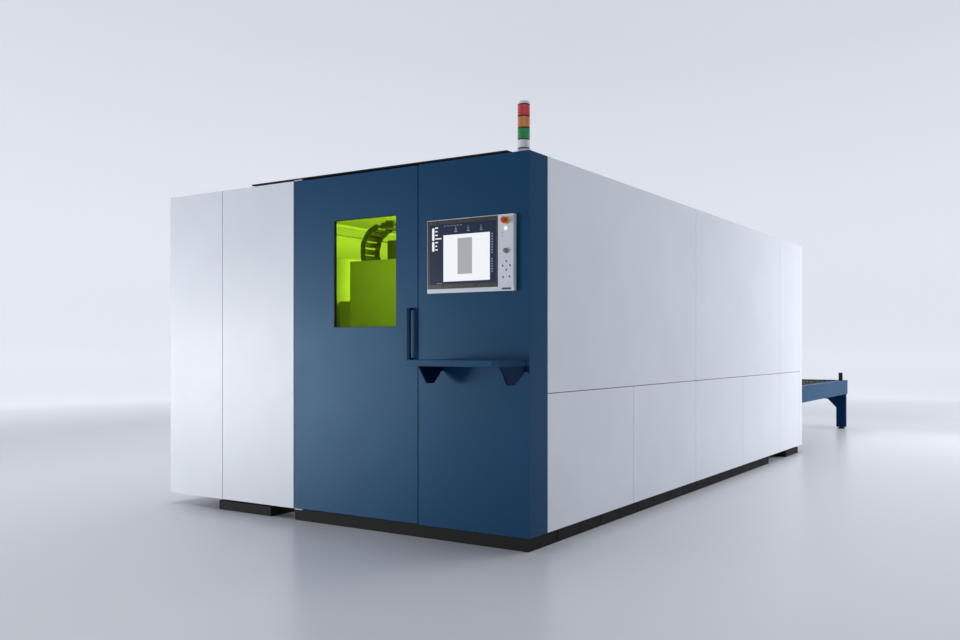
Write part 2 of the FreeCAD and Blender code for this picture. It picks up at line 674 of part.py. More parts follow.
def roof():
    """Three roof panels behind the front panels, and the raised cover plate on them."""
    inner = HALF - size.skin - size.seam
    starts = [size.skin + size.seam, size.corner_return + size.upper_bay,
              size.corner_return + size.upper_bay * 2]
    ends = starts[1:] + [size.body_length - size.skin]
    panels = [tray(f"roof_{number + 1}", (-inner, FRONT + begin, ROOF_BOTTOM),
                   (inner * 2, end - begin - size.seam, size.skin), 2, False, size.sheet)
              for number, (begin, end) in enumerate(zip(starts, ends))]
    node(group("roof_trays", panels), "roof_panels")

    bottom = size.body_height + size.roof_cover_lift
    length = size.body_length - size.roof_cover_end
    left = DOOR_LEFT - size.roof_cover_overlap
    width = HALF - size.roof_cover_inset - left
    plate = box("cover_plate", (left, FRONT, bottom), (width, length, size.roof_cover_thick))
    ribs = []
    for number in range(4):
        offset = size.tube_side * 3 + (length - size.tube_side * 6) / 3 * number
        ribs.append(box(f"cover_rib_{number + 1}",
                        (left + size.tube_side, FRONT + offset, size.body_height),
                        (width - size.tube_side * 2, size.tube_side, size.roof_cover_lift)))
    node(fuse("cover", plate, *ribs), "roof_cover")


# ---- Operator door ----------------------------------------------------------------------------------

def door_pivot():
    """X and Y of the hinge axis."""
    return DOOR_LEFT + size.door_gap + size.pin_inset, FRONT + size.pin_inset


def operator_door():
    """Folded door shell with a framed window opening and holes for the hinge pins."""
    left = DOOR_LEFT + size.door_gap
    bottom = size.panel_bottom + size.seam
    width = size.door_width - size.door_gap * 2
    height = size.body_height - size.seam - bottom
    shell = tray("door_shell", (left, FRONT, bottom), (width, size.door_depth, height), 1, True, size.sheet)
    wall = size.sheet
    window_left = DOOR_LEFT + size.window_offset
    window_bottom = size.body_height - size.window_drop - size.window_height
    collar = box("window_collar", (window_left - wall, FRONT, window_bottom - wall),
                 (size.window_width + wall * 2, size.window_recess, size.window_height + wall * 2))
    opening = box("window_opening", (window_left, FRONT - 1, window_bottom),
                  (size.window_width, size.door_depth + 2, size.window_height))
    x, y = door_pivot()
    pin_hole = cylinder("pin_hole", (x, y, size.panel_bottom), size.pin_radius + size.pin_play,
                        size.body_height)
    node(cut("door_cut", fuse("door_blank", shell, collar), opening, pin_hole), "operator_door")

    margin = size.window_margin
    pane = box("window_pane", (window_left - margin, FRONT + size.window_recess, window_bottom - margin),
               (size.window_width + margin * 2, size.pane, size.window_height + margin * 2))
    node(pane, "door_window")


def door_handle():
    """Straight bar on two legs."""
    reach = size.handle_reach
    top = size.handle_height
    bar = size.handle_bar
    section = [(0, 0), (reach, 0), (reach, bar), (bar, bar), (bar, top - bar),
               (reach, top - bar), (reach, top), (0, top)]
    handle = extruded("handle", "YZ_Plane", section, size.handle_width,
                      (DOOR_RIGHT - size.handle_inset, FRONT - reach, size.handle_bottom))
    node(handle, "door_handle")


def door_hinges():
    """A plate with a pin under the door and another above it, fastened to the frame and the roof."""
    x, y = door_pivot()
    depth = size.skin + size.tube_side - size.sheet
    engagement = size.pin_radius * 4
    plates = []
    low_z = size.panel_bottom - size.hinge_plate
    levels = (("low", low_z, low_z + size.hinge_plate - 1),
              ("high", size.body_height, size.body_height + 1 - engagement))
    for name, z, pin_z in levels:
        plate = box(f"hinge_plate_{name}", (DOOR_LEFT + size.seam, FRONT + size.sheet, z),
                    (size.hinge_width, depth, size.hinge_plate))
        pin = cylinder(f"hinge_pin_{name}", (x, y, pin_z), size.pin_radius, engagement)
        plates.append(fuse(f"hinge_{name}", plate, pin))
    node(group("hinges", plates), "door_hinges")


# ---- Shelf and control console ----------------------------------------------------------------------

def shelf():
    """Folded shelf with a lip all along, on two gusset brackets."""
    wall = size.shelf_sheet
    depth = size.shelf_depth
    lip = size.shelf_lip
    section = [(0, 0), (wall, 0), (wall, lip - wall), (depth - wall, lip - wall), (depth - wall, 0),
               (depth, 0), (depth, lip), (0, lip)]
    left = DOOR_RIGHT + size.shelf_offset
    right = HALF - size.shelf_inset
    plate = extruded("shelf_plate", "YZ_Plane", section, right - left,
                     (left, FRONT - depth, size.shelf_top - lip))
    node(plate, "shelf")

    drop = size.shelf_top - lip - size.bracket_foot
    brackets = []
    nose = size.bracket_nose
    reaches = (("left", left, size.bracket_left_reach),
               ("right", right - size.bracket_sheet, size.bracket_right_reach))
    for name, x, reach in reaches:
        gusset = [(0, drop), (nose, 0), (nose + size.bracket_toe, 0),
                  (reach - size.bracket_sheet, drop - size.shelf_lip), (reach, drop - size.shelf_lip),
                  (reach, drop)]
        brackets.append(extruded(f"bracket_{name}", "YZ_Plane", gusset, size.bracket_sheet,
                                 (x, FRONT - reach, size.bracket_foot)))
    node(group("brackets", brackets), "shelf_brackets")


def console():
    """Console housing in the operator panel, its screen and its key strip."""
    left = CONSOLE_LEFT
    bottom = CONSOLE_BOTTOM
    margin = size.console_margin
    rim = box("console_front", (left, FRONT - size.console_rim, bottom),
              (size.console_width, size.console_rim, size.console_height))
    back = box("console_back", (left + margin, FRONT, bottom + margin),
               (size.console_width - margin * 2, size.console_depth, size.console_height - margin * 2))
    bore = size.stem_radius + size.stem_play
    bores = [cylinder(f"bore_{name}", (CONTROL_X, FRONT - size.console_rim - 1, z), bore,
                      size.console_rim + size.console_depth / 2, "+y")
             for name, z in CONTROL_HEIGHTS.items()]
    node(cut("console_cut", fuse("console_blank", rim, back), *bores), "console_housing")

    screen = box("screen_glass", (SCREEN_LEFT, KEY_FACE, SCREEN_BOTTOM),
                 (size.screen_width, size.facing, SCREEN_HEIGHT))
    node(screen, "console_screen")

    strip_width = left + size.console_width - size.screen_margin - KEYPAD_LEFT
    strip = box("key_strip", (KEYPAD_LEFT, KEY_FACE, SCREEN_BOTTOM),
                (strip_width, size.facing, SCREEN_HEIGHT))
    holes = [cylinder(f"strip_hole_{name}", (CONTROL_X, KEY_FACE - 1, z), bore, size.facing + 2, "+y")
             for name, z in CONTROL_HEIGHTS.items()]
    node(cut("key_strip_cut", strip, *holes), "console_keypad")


def console_controls():
    """Emergency stop with its collar, start button and override knob, each turned from one blank."""
    stem = size.stem_radius
    engaged = size.console_rim
    collar = size.collar_depth
    ring = turned("collar", [(stem + size.stem_play, 0), (size.collar_radius, 0),
                             (size.collar_radius * 0.9, collar), (stem + size.stem_play, collar)],
                  (CONTROL_X, KEY_FACE, CONTROL_HEIGHTS["estop"]), "-y")
    node(ring, "estop_collar")

    lift = collar + size.estop_travel + size.running_gap
    radius = size.estop_radius
    depth = size.estop_depth
    mushroom = turned("mushroom", [(0, -engaged), (stem, -engaged), (stem, lift), (radius * 0.85, lift),
                                   (radius, lift + depth / 4), (radius, lift + depth * 0.7),
                                   (radius * 0.7, lift + depth * 0.95), (0, lift + depth)],
                      (CONTROL_X, KEY_FACE, CONTROL_HEIGHTS["estop"]), "-y")
    node(mushroom, "estop_button")

    lift = size.start_travel + size.running_gap
    radius = size.start_radius
    push = turned("push_button", [(0, -engaged), (stem, -engaged), (stem, lift), (radius, lift),
                                  (radius, lift + 3), (radius * 0.85, lift + 5), (0, lift + 5)],
                  (CONTROL_X, KEY_FACE, CONTROL_HEIGHTS["start"]), "-y")
    node(push, "start_button")

    radius = size.knob_radius
    gap = size.running_gap
    dial = turned("dial", [(0, -engaged), (stem, -engaged), (stem, gap), (radius, gap),
                           (radius * 0.9, gap + 14), (0, gap + 15)],
                  (CONTROL_X, KEY_FACE, CONTROL_HEIGHTS["knob"]), "-y")
    pointer = box("dial_pointer", (CONTROL_X - 1.5, KEY_FACE - 18, CONTROL_HEIGHTS["knob"]),
                  (3, 10, size.knob_radius * 0.8))
    node(fuse("dial_with_pointer", dial, pointer), "override_knob")


def signal_tower():
    """Base, three coloured lenses and a cap, stacked on the roof."""
    centre = (HALF - size.tower_inset, FRONT + size.tower_y)
    radius = size.tower_radius
    base = turned("tower_foot", [(0, 0), (radius * 1.15, 0), (radius * 1.15, 6), (radius, 8),
                                 (radius, size.tower_base), (0, size.tower_base)],
                  (*centre, size.body_height))
    node(base, "tower_base")
    z = size.body_height + size.tower_base
    for colour in ("green", "amber", "red"):
        node(cylinder(f"lens_{colour}", (*centre, z), radius, size.tower_lens), f"tower_{colour}")
        z = z + size.tower_lens
    cap = turned("tower_lid", [(0, 0), (radius, 0), (radius, size.tower_cap - 6),
                               (radius - 6, size.tower_cap), (0, size.tower_cap)], (*centre, z))
    node(cap, "tower_cap")


# ---- Cabinets and inner walls -----------------------------------------------------------------------

def inner_walls():
    """Partition between the work area and the cabinets, and the scrap bins under the pallet."""
    length = FRAME_BACK - FRAME_FRONT - size.tube_side * 2
    wall = tray("partition", (PARTITION_X, FRAME_FRONT + size.tube_side, SILL_TOP),
                (size.partition_depth, length, size.partition_top - SILL_TOP), 0, False, size.sheet)
    node(wall, "partition_wall")

    width = size.bed_gauge - size.tube_side * 2
    bins = []
    for number in range(2):
        start = size.bed_start + BED_LENGTH - size.bin_length * (number + 1) - size.tube_side * (number + 1)
        bins.append(tray(f"bin_{number + 1}", (TABLE_CENTER - width / 2, FRONT + start,
                                               size.cross_beam_top),
                         (width, size.bin_length, size.bin_height), 2, True, size.bin_sheet))
    node(group("bins", bins), "scrap_bins")


def cabinets():
    """Control cabinet, laser source and cooling unit behind the white panels."""
    left = size.tube_side + size.cabinet_clear - FRAME_HALF
    width = PARTITION_X - size.cabinet_clear - left
    start = FRONT + size.cabinet_start
    for name, length, height in (("control_cabinet", size.control_length, size.control_height),
                                 ("laser_source", size.laser_length, size.laser_height),
                                 ("cooling_unit", size.cooler_length, size.cooler_height)):
        node(case(f"{name}_case", (left, start, SILL_TOP), (width, length, height), size.sheet), name)
        start = start + length + size.cabinet_gap


# ---- Gantry ------------------------------------------------------------------------------------------

def guides():
    """Guide rails and gear racks on the bed beams, and the wheel rails of the pallet."""
    rails = []
    racks = []
    ledges = []
    for side, sign in (("left", -1), ("right", 1)):
        middle = TABLE_CENTER + (BED_INNER + size.bed_beam_width / 2) * sign
        rails.append(box(f"rail_{side}", (middle - size.rail_width / 2, FRONT + size.bed_start, size.bed_top),
                         (size.rail_width, BED_LENGTH, size.rail_height)))
        rack_x = TABLE_CENTER + BED_OUTER * sign - size.rack_width * (0.5 + sign / 2)
        racks.append(box(f"rack_{side}", (rack_x, FRONT + size.bed_start, size.bed_top),
                         (size.rack_width, BED_LENGTH, size.rack_width)))
        width = BED_INNER - LEDGE_INNER
        ledge_x = TABLE_CENTER + (LEDGE_INNER if sign > 0 else -BED_INNER)
        start = size.body_length / 2 - size.bin_length / 2
        ledges.append(box(f"ledge_{side}", (ledge_x, FRONT + start, size.ledge_top - size.ledge_sheet),
                          (width, size.body_length - start - size.bed_end, size.ledge_sheet)))
        tongue_x = TABLE_CENTER + (LEDGE_INNER if sign > 0 else -LEDGE_INNER - size.ledge_width)
        ledges.append(box(f"tongue_{side}", (tongue_x, BACK - size.bed_end,
                                             size.ledge_top - size.ledge_sheet),
                          (size.ledge_width, size.bed_end, size.ledge_sheet)))
    node(group("rails_and_racks", rails + racks), "guide_rails")
    merged = [fuse(f"wheel_rail_{side}", ledges[2 * index], ledges[2 * index + 1])
              for index, side in enumerate(("left", "right"))]
    node(group("wheel_rails", merged), "pallet_rails")


def gantry():
    """End trucks on the rails, the beam across them and the hood with its deck for the energy chain."""
    trucks = []
    gap = size.running_gap
    start = BEAM_START - size.truck_lead
    for side, sign in (("left", -1), ("right", 1)):
        x = TABLE_CENTER + (BED_INNER if sign > 0 else -BED_OUTER)
        bottom = RAIL_TOP - size.truck_skirt
        truck = box(f"truck_{side}_block", (x, start, bottom),
                    (size.bed_beam_width, size.truck_length, BEAM_BOTTOM - bottom))
        rail_x = x + (size.bed_beam_width - size.rail_width) / 2 - gap
        groove = box(f"truck_{side}_groove", (rail_x, start - 1, bottom - 1),
                     (size.rail_width + gap * 2, size.truck_length + 2, RAIL_TOP + gap - bottom + 1))
        rack_side = size.rack_width + gap
        relief_x = x - 1 if sign < 0 else x + size.bed_beam_width - rack_side
        relief_height = size.bed_top + rack_side - bottom + 1
        relief = box(f"truck_{side}_relief", (relief_x, start - 1, bottom - 1),
                     (rack_side + 1, size.truck_length + 2, relief_height))
        trucks.append(cut(f"truck_{side}", truck, groove, relief))
    node(group("trucks", trucks), "gantry_trucks")

    width = BED_OUTER * 2
    beam = tube("beam", (TABLE_CENTER - BED_OUTER, BEAM_START, BEAM_BOTTOM),
                (width, size.beam_depth, size.beam_height), size.beam_wall, 0)
    node(beam, "gantry_beam")
    rails = [box(f"cross_rail_{number}", (TABLE_CENTER - BED_INNER, BEAM_FACE, z),
                 (size.bed_gauge, size.rail_height, size.rail_width))
             for number, z in enumerate((BEAM_BOTTOM + size.rail_width, BEAM_TOP - size.rail_width * 2))]
    node(group("cross_rails", rails), "gantry_rails")

    wall = size.hood_sheet
    width = size.hood_width
    depth = BEAM_FACE - HOOD_FRONT
    bottom = BEAM_BOTTOM + size.hood_rise
    outer = box("hood_outer", (HOOD_LEFT, HOOD_FRONT, bottom), (width, depth, HOOD_DECK - bottom))
    inner = box("hood_inner", (HOOD_LEFT + wall, HOOD_FRONT + wall, bottom - 1),
                (width - wall * 2, depth, HOOD_DECK - bottom - wall + 1))
    passage = box("hood_passage", (HOOD_LEFT - 1, BEAM_START - gap, bottom - 1),
                  (width + 2, size.beam_depth + 1, BEAM_TOP - bottom + 1))
    shell = cut("hood_shell", outer, inner, passage)
    apron = box("hood_apron_plate", (HOOD_LEFT, HOOD_FRONT, HOOD_DECK), (width, wall, size.hood_apron))
    ribs = []
    for number in range(3):
        x = HOOD_LEFT + (width - wall) / 2 * number
        ribs.append(box(f"hood_rib_{number + 1}", (x, HOOD_FRONT, BEAM_TOP),
                        (wall, depth, HOOD_DECK - BEAM_TOP)))
    node(fuse("hood", shell, apron, *ribs), "gantry_hood")


def cutting_carriage():
    """Carriage on the rear of the beam with the arm to the energy chain, the vertical slide and the head."""
    left = CARRIAGE_X - size.carriage_width / 2
    gap = size.running_gap
    plate_y = BEAM_FACE + size.rail_height + gap
    plate = box("carriage_block", (left, plate_y, CARRIAGE_BOTTOM),
                (size.carriage_width, size.carriage_plate, size.carriage_height))
    arm_x = left + size.carriage_width - size.arm_width
    post_bottom = CARRIAGE_BOTTOM + size.carriage_height
    post = box("arm_post", (arm_x, plate_y, post_bottom),
               (size.arm_width, size.carriage_plate, ARM_TOP - post_bottom))
    tongue = box("arm_tongue", (arm_x, BEAM_START, ARM_TOP - size.arm_thick),
                 (size.arm_width, plate_y + size.carriage_plate - BEAM_START, size.arm_thick))
    node(fuse("carriage", plate, post, tongue), "head_carriage")

    slide_y = plate_y + size.carriage_plate + gap
    slide_bottom = CARRIAGE_BOTTOM - size.slide_drop
    slide = box("slide_block", (CARRIAGE_X - size.slide_width / 2, slide_y, slide_bottom),
                (size.slide_width, size.slide_depth, size.slide_height))
    node(slide, "head_slide")

    centre = (CARRIAGE_X, slide_y + size.slide_depth / 2)
    radius = size.head_radius
    head_z = slide_bottom - size.head_height
    head = turned("head", [(0, 0), (radius * 0.7, 0), (radius * 0.7, 30), (radius, 50),
                           (radius, size.head_height), (0, size.head_height)], (*centre, head_z))
    node(head, "cutting_head")
    nozzle = turned("nozzle_cone", [(0, 0), (size.nozzle_tip, 0), (radius * 0.5, size.nozzle_height - 15),
                                    (radius * 0.5, size.nozzle_height), (0, size.nozzle_height)],
                    (*centre, head_z - size.nozzle_height))
    node(nozzle, "nozzle")


def energy_chain():
    """Energy chain lying on the hood's deck: lower run, half-round bend and upper run."""
    outer_radius = size.chain_bend + size.chain_height
    low = HOOD_DECK + size.running_gap
    left = HOOD_LEFT + size.chain_inset
    start = BEAM_START
    centre_z = low + outer_radius
    lower = box("chain_lower_run", (left, start, low),
                (size.chain_lower, size.chain_width, size.chain_height))
    upper = box("chain_upper_run", (left, start, centre_z + size.chain_bend),
                (size.chain_upper, size.chain_width, size.chain_height))
    disc = cylinder("chain_disc", (left, start, centre_z), outer_radius, size.chain_width, "+y")
    core = cylinder("chain_core", (left, start, centre_z), size.chain_bend, size.chain_width, "+y")
    half = box("chain_half", (left, start - 1, low - 1),
               (outer_radius + 2, size.chain_width + 2, outer_radius * 2 + 2))
    bend = cut("chain_bend_ring", disc, core, half)
    node(fuse("chain", lower, upper, bend), "energy_chain")


# ---- Pallet table, pallet and rear gate ---------------------------------------------------------------

def pallet_table():
    """Two side beams with wheel ledges, an end beam, a leg portal with gussets, feet and end stops."""
    width = size.changer_beam_width
    bottom = CHANGER_TOP - size.changer_beam_height
    outer = CHANGER_OUTER
    start = BACK + size.running_gap
    length = FAR_END - start
    beams = []
    for side, sign in (("left", -1), ("right", 1)):
        x = TABLE_CENTER + (outer - width if sign > 0 else -outer)
        beams.append(tube(f"table_beam_{side}", (x, start, bottom), (width, length, size.changer_beam_height),
                          size.tube_wall, 1))
        ledge_x = TABLE_CENTER + (LEDGE_INNER if sign > 0 else -LEDGE_INNER - size.ledge_width)
        beams.append(box(f"table_ledge_{side}", (ledge_x, start, size.ledge_top - size.ledge_sheet),
                         (size.ledge_width, length - width, size.ledge_sheet)))
    beams.append(tube("table_end_beam", (TABLE_CENTER - outer + width, FAR_END - width, bottom),
                      ((outer - width) * 2, width, size.changer_beam_height), size.tube_wall, 0))
    node(group("table_beams", beams), "table_beams")

    leg_y = FAR_END - size.leg_margin - size.leg_depth
    leg = size.leg_width
    inner = outer * 2 - leg
    top = bottom - size.foot_height
    low = top - size.portal_beam
    gusset = size.gusset
    section = [(0, 0), (leg, 0), (leg, low - gusset), (leg + gusset, low), (inner - gusset, low),
               (inner, low - gusset), (inner, 0), (outer * 2, 0), (outer * 2, top), (0, top)]
    portal = extruded("portal", "XZ_Plane", section, size.leg_depth,
                      (TABLE_CENTER - outer, leg_y, size.foot_height))
    node(portal, "table_legs")

    feet = []
    stops = []
    for side, sign in (("left", -1), ("right", 1)):
        x = TABLE_CENTER + (outer - leg / 2) * sign
        profile = [(0, 0), (size.foot_radius, 0), (size.foot_radius, 8),
                   (size.foot_radius * 0.4, size.foot_height), (0, size.foot_height)]
        feet.append(turned(f"foot_{side}", profile, (x, leg_y + size.leg_depth / 2, 0)))
        stop_x = TABLE_CENTER + (outer - width / 2) * sign - size.stop_width / 2
        stops.append(box(f"stop_{side}", (stop_x, FAR_END - size.stop_inset - size.stop_width / 2,
                                          CHANGER_TOP),
                         (size.stop_width, size.stop_width, size.stop_height)))
    node(group("feet", feet), "table_feet")
    node(group("stops", stops), "end_stops")


def pallet():
    """Ladder frame with upright slats and four flanged wheels on stub axles."""
    half = PALLET_HALF
    side = size.pallet_beam
    bottom = PALLET_BOTTOM
    left = TABLE_CENTER - half
    beams = []
    for name, x in (("left", left), ("right", TABLE_CENTER + half - side)):
        beams.append(tube(f"pallet_beam_{name}", (x, PALLET_START, bottom),
                          (side, size.pallet_length, size.pallet_height), size.tube_wall, 1))
    spacing = (size.pallet_length - side) / 4
    for number in range(5):
        corner = (left + side, PALLET_START + spacing * number, bottom)
        beams.append(tube(f"pallet_cross_{number + 1}", corner, ((half - side) * 2, side, size.pallet_height),
                          size.tube_wall, 0))
    axle_z = size.ledge_top + size.running_gap + size.wheel_radius
    wheel_x = half + size.wheel_gap
    hub = wheel_x + size.wheel_width
    rows = (("front", PALLET_START + size.wheel_inset),
            ("rear", PALLET_START + size.pallet_length - size.wheel_inset))
    for name, sign in (("left", -1), ("right", 1)):
        for row, y in rows:
            turn = "+x" if sign > 0 else "-x"
            start = (TABLE_CENTER + half * sign, y, axle_z)
            beams.append(cylinder(f"axle_{name}_{row}", start, size.axle_radius, hub - half, turn))
            wheel = cylinder(f"wheel_disc_{name}_{row}", (TABLE_CENTER + wheel_x * sign, y, axle_z),
                             size.wheel_radius, size.wheel_width, turn)
            bore = cylinder(f"wheel_bore_{name}_{row}", start, size.axle_radius + size.axle_play,
                            hub - half + 5, turn)
            node(cut(f"wheel_cut_{name}_{row}", wheel, bore), f"wheel_{name}_{row}")
    node(group("pallet_beams", beams), "pallet_frame")

    count = int((size.pallet_length - side * 2).number // size.slat_pitch.number)
    first = PALLET_START + (size.pallet_length - size.slat_pitch * count) / 2
    slats = [box(f"slat_{number + 1}", (left + side / 2, first + size.slat_pitch * number, PALLET_TOP),
                 ((half - side / 2) * 2, size.slat_sheet, size.slat_height)) for number in range(count + 1)]
    node(group("slats", slats), "pallet_slats")


def rear_gate():
    """Gate behind the opening, raised, in two vertical guides on the rear wall."""
    half = OPENING_HALF + size.gate_overlap
    bottom = OPENING_TOP + size.gate_clear
    play = size.gate_play
    wall = size.guide_wall
    gate_y = FRAME_BACK - wall - play - size.gate_depth
    gate = tray("gate_tray", (TABLE_CENTER - half, gate_y, bottom),
                (half * 2, size.gate_depth, size.gate_height), 1, False, size.sheet)
    node(gate, "rear_gate")
    guides_pair = []
    low = size.ledge_top + wall
    height = bottom + size.gate_height + size.tube_side - low
    front = gate_y - play - wall
    depth = BACK - size.sheet - front
    reach = size.gate_overlap * 0.6
    for name, sign in (("left", -1), ("right", 1)):
        outer_x = half + play + wall
        x = TABLE_CENTER + (half - reach if sign > 0 else -outer_x)
        outer = box(f"guide_{name}_outer", (x, front, low),
                    (outer_x - half + reach, depth, height))
        slot_x = x - 1 if sign > 0 else x + wall
        slot = box(f"guide_{name}_slot", (slot_x, gate_y - play, low - 1),
                   (reach + play + 1, size.gate_depth + play * 2, height + 2))
        guides_pair.append(cut(f"guide_{name}", outer, slot))
    node(group("guide_pair", guides_pair), "gate_guides")


# ---- Build, check and write ---------------------------------------------------------------------------

def check(objects):
    """Stops if any object failed or any sub-part is empty or not valid."""
    for item in doc.Objects:
        if {"Invalid", "Error"} & set(item.State):
            raise RuntimeError(f"{item.Label} failed: {item.State}")
    for item in objects:
        if item.Shape.isNull() or not item.Shape.isValid() or not item.Shape.Solids:
            raise RuntimeError(f"{item.Label} has no valid solid")
    labels = [item.Label for item in objects]
    if len(set(labels)) != len(labels):
        raise RuntimeError("two sub-parts share a name")


def main():
    bed_frame()
    foot_pads()
    plinth()
    housing_frame()
    front_panels()
    operator_panel()
    side_panels()
    rear_wall()
    roof()
    operator_door()
    door_handle()
    door_hinges()
    shelf()
    console()
    console_controls()
    signal_tower()
    inner_walls()
    cabinets()
    guides()
    gantry()
    cutting_carriage()
    energy_chain()
    pallet_table()
    pallet()
    rear_gate()
    doc.recompute()
    check(nodes)
    os.makedirs("parts", exist_ok=True)
    for item in nodes:
        item.Shape.exportStep(f"parts/{item.Label}.step")
    print(len(nodes), "sub-parts written")


main()
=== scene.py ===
"""Looks of the fiber laser cutting machine: finishes, console, lenses, energy chain, slats and studio.

Metres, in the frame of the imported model. Every piece takes its place from the corners of the CAD nodes.
"""
import bmesh
import bpy
import json
import math
import numpy as np
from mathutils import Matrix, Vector


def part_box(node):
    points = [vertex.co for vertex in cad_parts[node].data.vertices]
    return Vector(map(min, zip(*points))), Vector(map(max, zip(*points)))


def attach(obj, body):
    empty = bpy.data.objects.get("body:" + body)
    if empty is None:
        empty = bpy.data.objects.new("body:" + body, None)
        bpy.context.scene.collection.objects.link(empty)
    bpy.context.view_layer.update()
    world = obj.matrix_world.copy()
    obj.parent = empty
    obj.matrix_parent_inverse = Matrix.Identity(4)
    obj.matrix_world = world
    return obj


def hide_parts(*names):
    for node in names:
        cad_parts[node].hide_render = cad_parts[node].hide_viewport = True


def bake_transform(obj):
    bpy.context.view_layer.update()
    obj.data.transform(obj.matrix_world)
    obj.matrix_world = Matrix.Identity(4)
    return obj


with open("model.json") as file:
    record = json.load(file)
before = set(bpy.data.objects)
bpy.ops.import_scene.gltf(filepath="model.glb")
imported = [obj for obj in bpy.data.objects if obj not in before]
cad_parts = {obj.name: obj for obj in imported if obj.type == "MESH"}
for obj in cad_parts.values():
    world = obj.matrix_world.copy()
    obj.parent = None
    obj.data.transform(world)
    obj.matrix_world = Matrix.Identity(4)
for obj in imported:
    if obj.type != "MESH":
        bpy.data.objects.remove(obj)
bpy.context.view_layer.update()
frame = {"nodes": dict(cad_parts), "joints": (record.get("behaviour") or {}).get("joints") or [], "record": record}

NODES = frame["nodes"]
BODY_OF_NODE = {node: body for body, nodes in frame["record"]["behaviour"]["bodies"].items()
                for node in nodes}


def low(node):
    """Lowest corner of a CAD node."""
    return np.array(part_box(node)[0])


def high(node):
    """Highest corner of a CAD node."""
    return np.array(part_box(node)[1])


FRONT_Y = low("operator_panel")[1]
RIGHT_X = high("operator_panel")[0]


# ---- Material building ------------------------------------------------------------------------------

class Finish:
    """A node material around one Principled shader, with short calls for its patterns."""

    def __init__(self, name, roughness, metallic=0.0, **sockets):
        self.material = bpy.data.materials.new(name)
        self.material.use_nodes = True
        self.tree = self.material.node_tree
        self.shader = self.tree.nodes["Principled BSDF"]
        self.shader.inputs["Roughness"].default_value = roughness
        self.shader.inputs["Metallic"].default_value = metallic
        for socket, value in sockets.items():
            self.shader.inputs[socket.replace("_", " ")].default_value = value
        self.place = self.tree.nodes.new("ShaderNodeTexCoord").outputs["Object"]

    def node(self, kind, **settings):
        """A new node with its attributes and inputs set by name."""
        made = self.tree.nodes.new(kind)
        for key, value in settings.items():
            if hasattr(made, key):
                setattr(made, key, value)
            else:
                made.inputs[key.replace("_", " ")].default_value = value
        return made

    def link(self, output, socket):
        """Joins an output to an input."""
        self.tree.links.new(output, socket)

    def stretched(self, scale):
        """Object coordinates scaled by three factors."""
        mapping = self.node("ShaderNodeMapping", vector_type="POINT", Scale=scale)
        self.link(self.place, mapping.inputs["Vector"])
        return mapping.outputs["Vector"]

    def noise(self, scale, detail=2.0, stretch=None):
        """Smooth noise between 0 and 1."""
        made = self.node("ShaderNodeTexNoise", Scale=scale, Detail=detail)
        self.link(self.stretched(stretch) if stretch else self.place, made.inputs["Vector"])
        return made.outputs["Fac"]

    def spread(self, value, from_low, from_high, to_low, to_high):
        """value moved from one range to another and held inside it."""
        made = self.node("ShaderNodeMapRange", From_Min=from_low, From_Max=from_high, To_Min=to_low,
                         To_Max=to_high)
        self.link(value, made.inputs["Value"])
        return made.outputs["Result"]

    def blend(self, factor, first, second):
        """The colour between two colours or sockets."""
        made = self.node("ShaderNodeMix", data_type="RGBA")
        self.link(factor, made.inputs["Factor"])
        for socket, value in ((made.inputs[6], first), (made.inputs[7], second)):
            if isinstance(value, bpy.types.NodeSocket):
                self.link(value, socket)
            else:
                socket.default_value = (*value, 1.0)
        return made.outputs[2]

    def colour(self, output):
        """The surface's own colour."""
        self.link(output, self.shader.inputs["Base Color"])

    def rough(self, output):
        """The surface's roughness, from 0, mirror, to 1, matt."""
        self.link(output, self.shader.inputs["Roughness"])

    def glow(self, output, strength):
        """Light of the given colour from the surface itself."""
        self.link(output, self.shader.inputs["Emission Color"])
        self.shader.inputs["Emission Strength"].default_value = strength

    def bump(self, height, distance, strength):
        """Raises the surface by height, up to distance."""
        made = self.node("ShaderNodeBump", Strength=strength, Distance=distance)
        self.link(height, made.inputs["Height"])
        self.link(made.outputs["Normal"], self.shader.inputs["Normal"])


def shade(colour, factor):
    """The colour made lighter or darker by a factor."""
    return tuple(min(1.0, channel * factor) for channel in colour)


def powder_coat(name, colour, roughness, grain=900.0, **sockets):
    """Sprayed coat: fine orange peel, faint cloudiness in colour and gloss."""
    peel_depth = 0.00004
    finish = Finish(name, roughness, **sockets)
    cloud = finish.noise(1.7, 3.0)
    finish.colour(finish.blend(finish.spread(cloud, 0.3, 0.7, 0.0, 1.0), shade(colour, 0.97),
                               shade(colour, 1.03)))
    finish.rough(finish.spread(finish.noise(9.0, 3.0), 0.3, 0.7, roughness - 0.01, roughness + 0.015))
    finish.bump(finish.noise(grain, 2.0), peel_depth, 0.6)
    return finish.material


def brushed(name, colour, roughness, along):
    """Ground metal: fine scratches drawn out along one axis, with varied gloss."""
    scratches_across, scratches_along, scratch_depth = 260.0, 6.0, 0.00005
    finish = Finish(name, roughness, 1.0)
    stretch = [scratches_across] * 3
    stretch[along] = scratches_along
    lines = finish.noise(1.0, 4.0, stretch)
    finish.colour(finish.blend(lines, shade(colour, 0.86), shade(colour, 1.1)))
    finish.rough(finish.spread(lines, 0.3, 0.7, roughness - 0.06, roughness + 0.1))
    finish.bump(lines, scratch_depth, 0.5)
    return finish.material


def moulded(name, colour, roughness, grain=1400.0):
    """Moulded plastic or rubber: a fine eroded texture and a slight change of gloss."""
    grain_depth = 0.00005
    finish = Finish(name, roughness)
    cloud = finish.noise(14.0, 3.0)
    finish.colour(finish.blend(cloud, shade(colour, 0.93), shade(colour, 1.05)))
    finish.rough(finish.spread(finish.noise(60.0, 3.0), 0.3, 0.7, roughness - 0.04, roughness + 0.06))
    finish.bump(finish.noise(grain, 2.0), grain_depth, 0.5)
    return finish.material


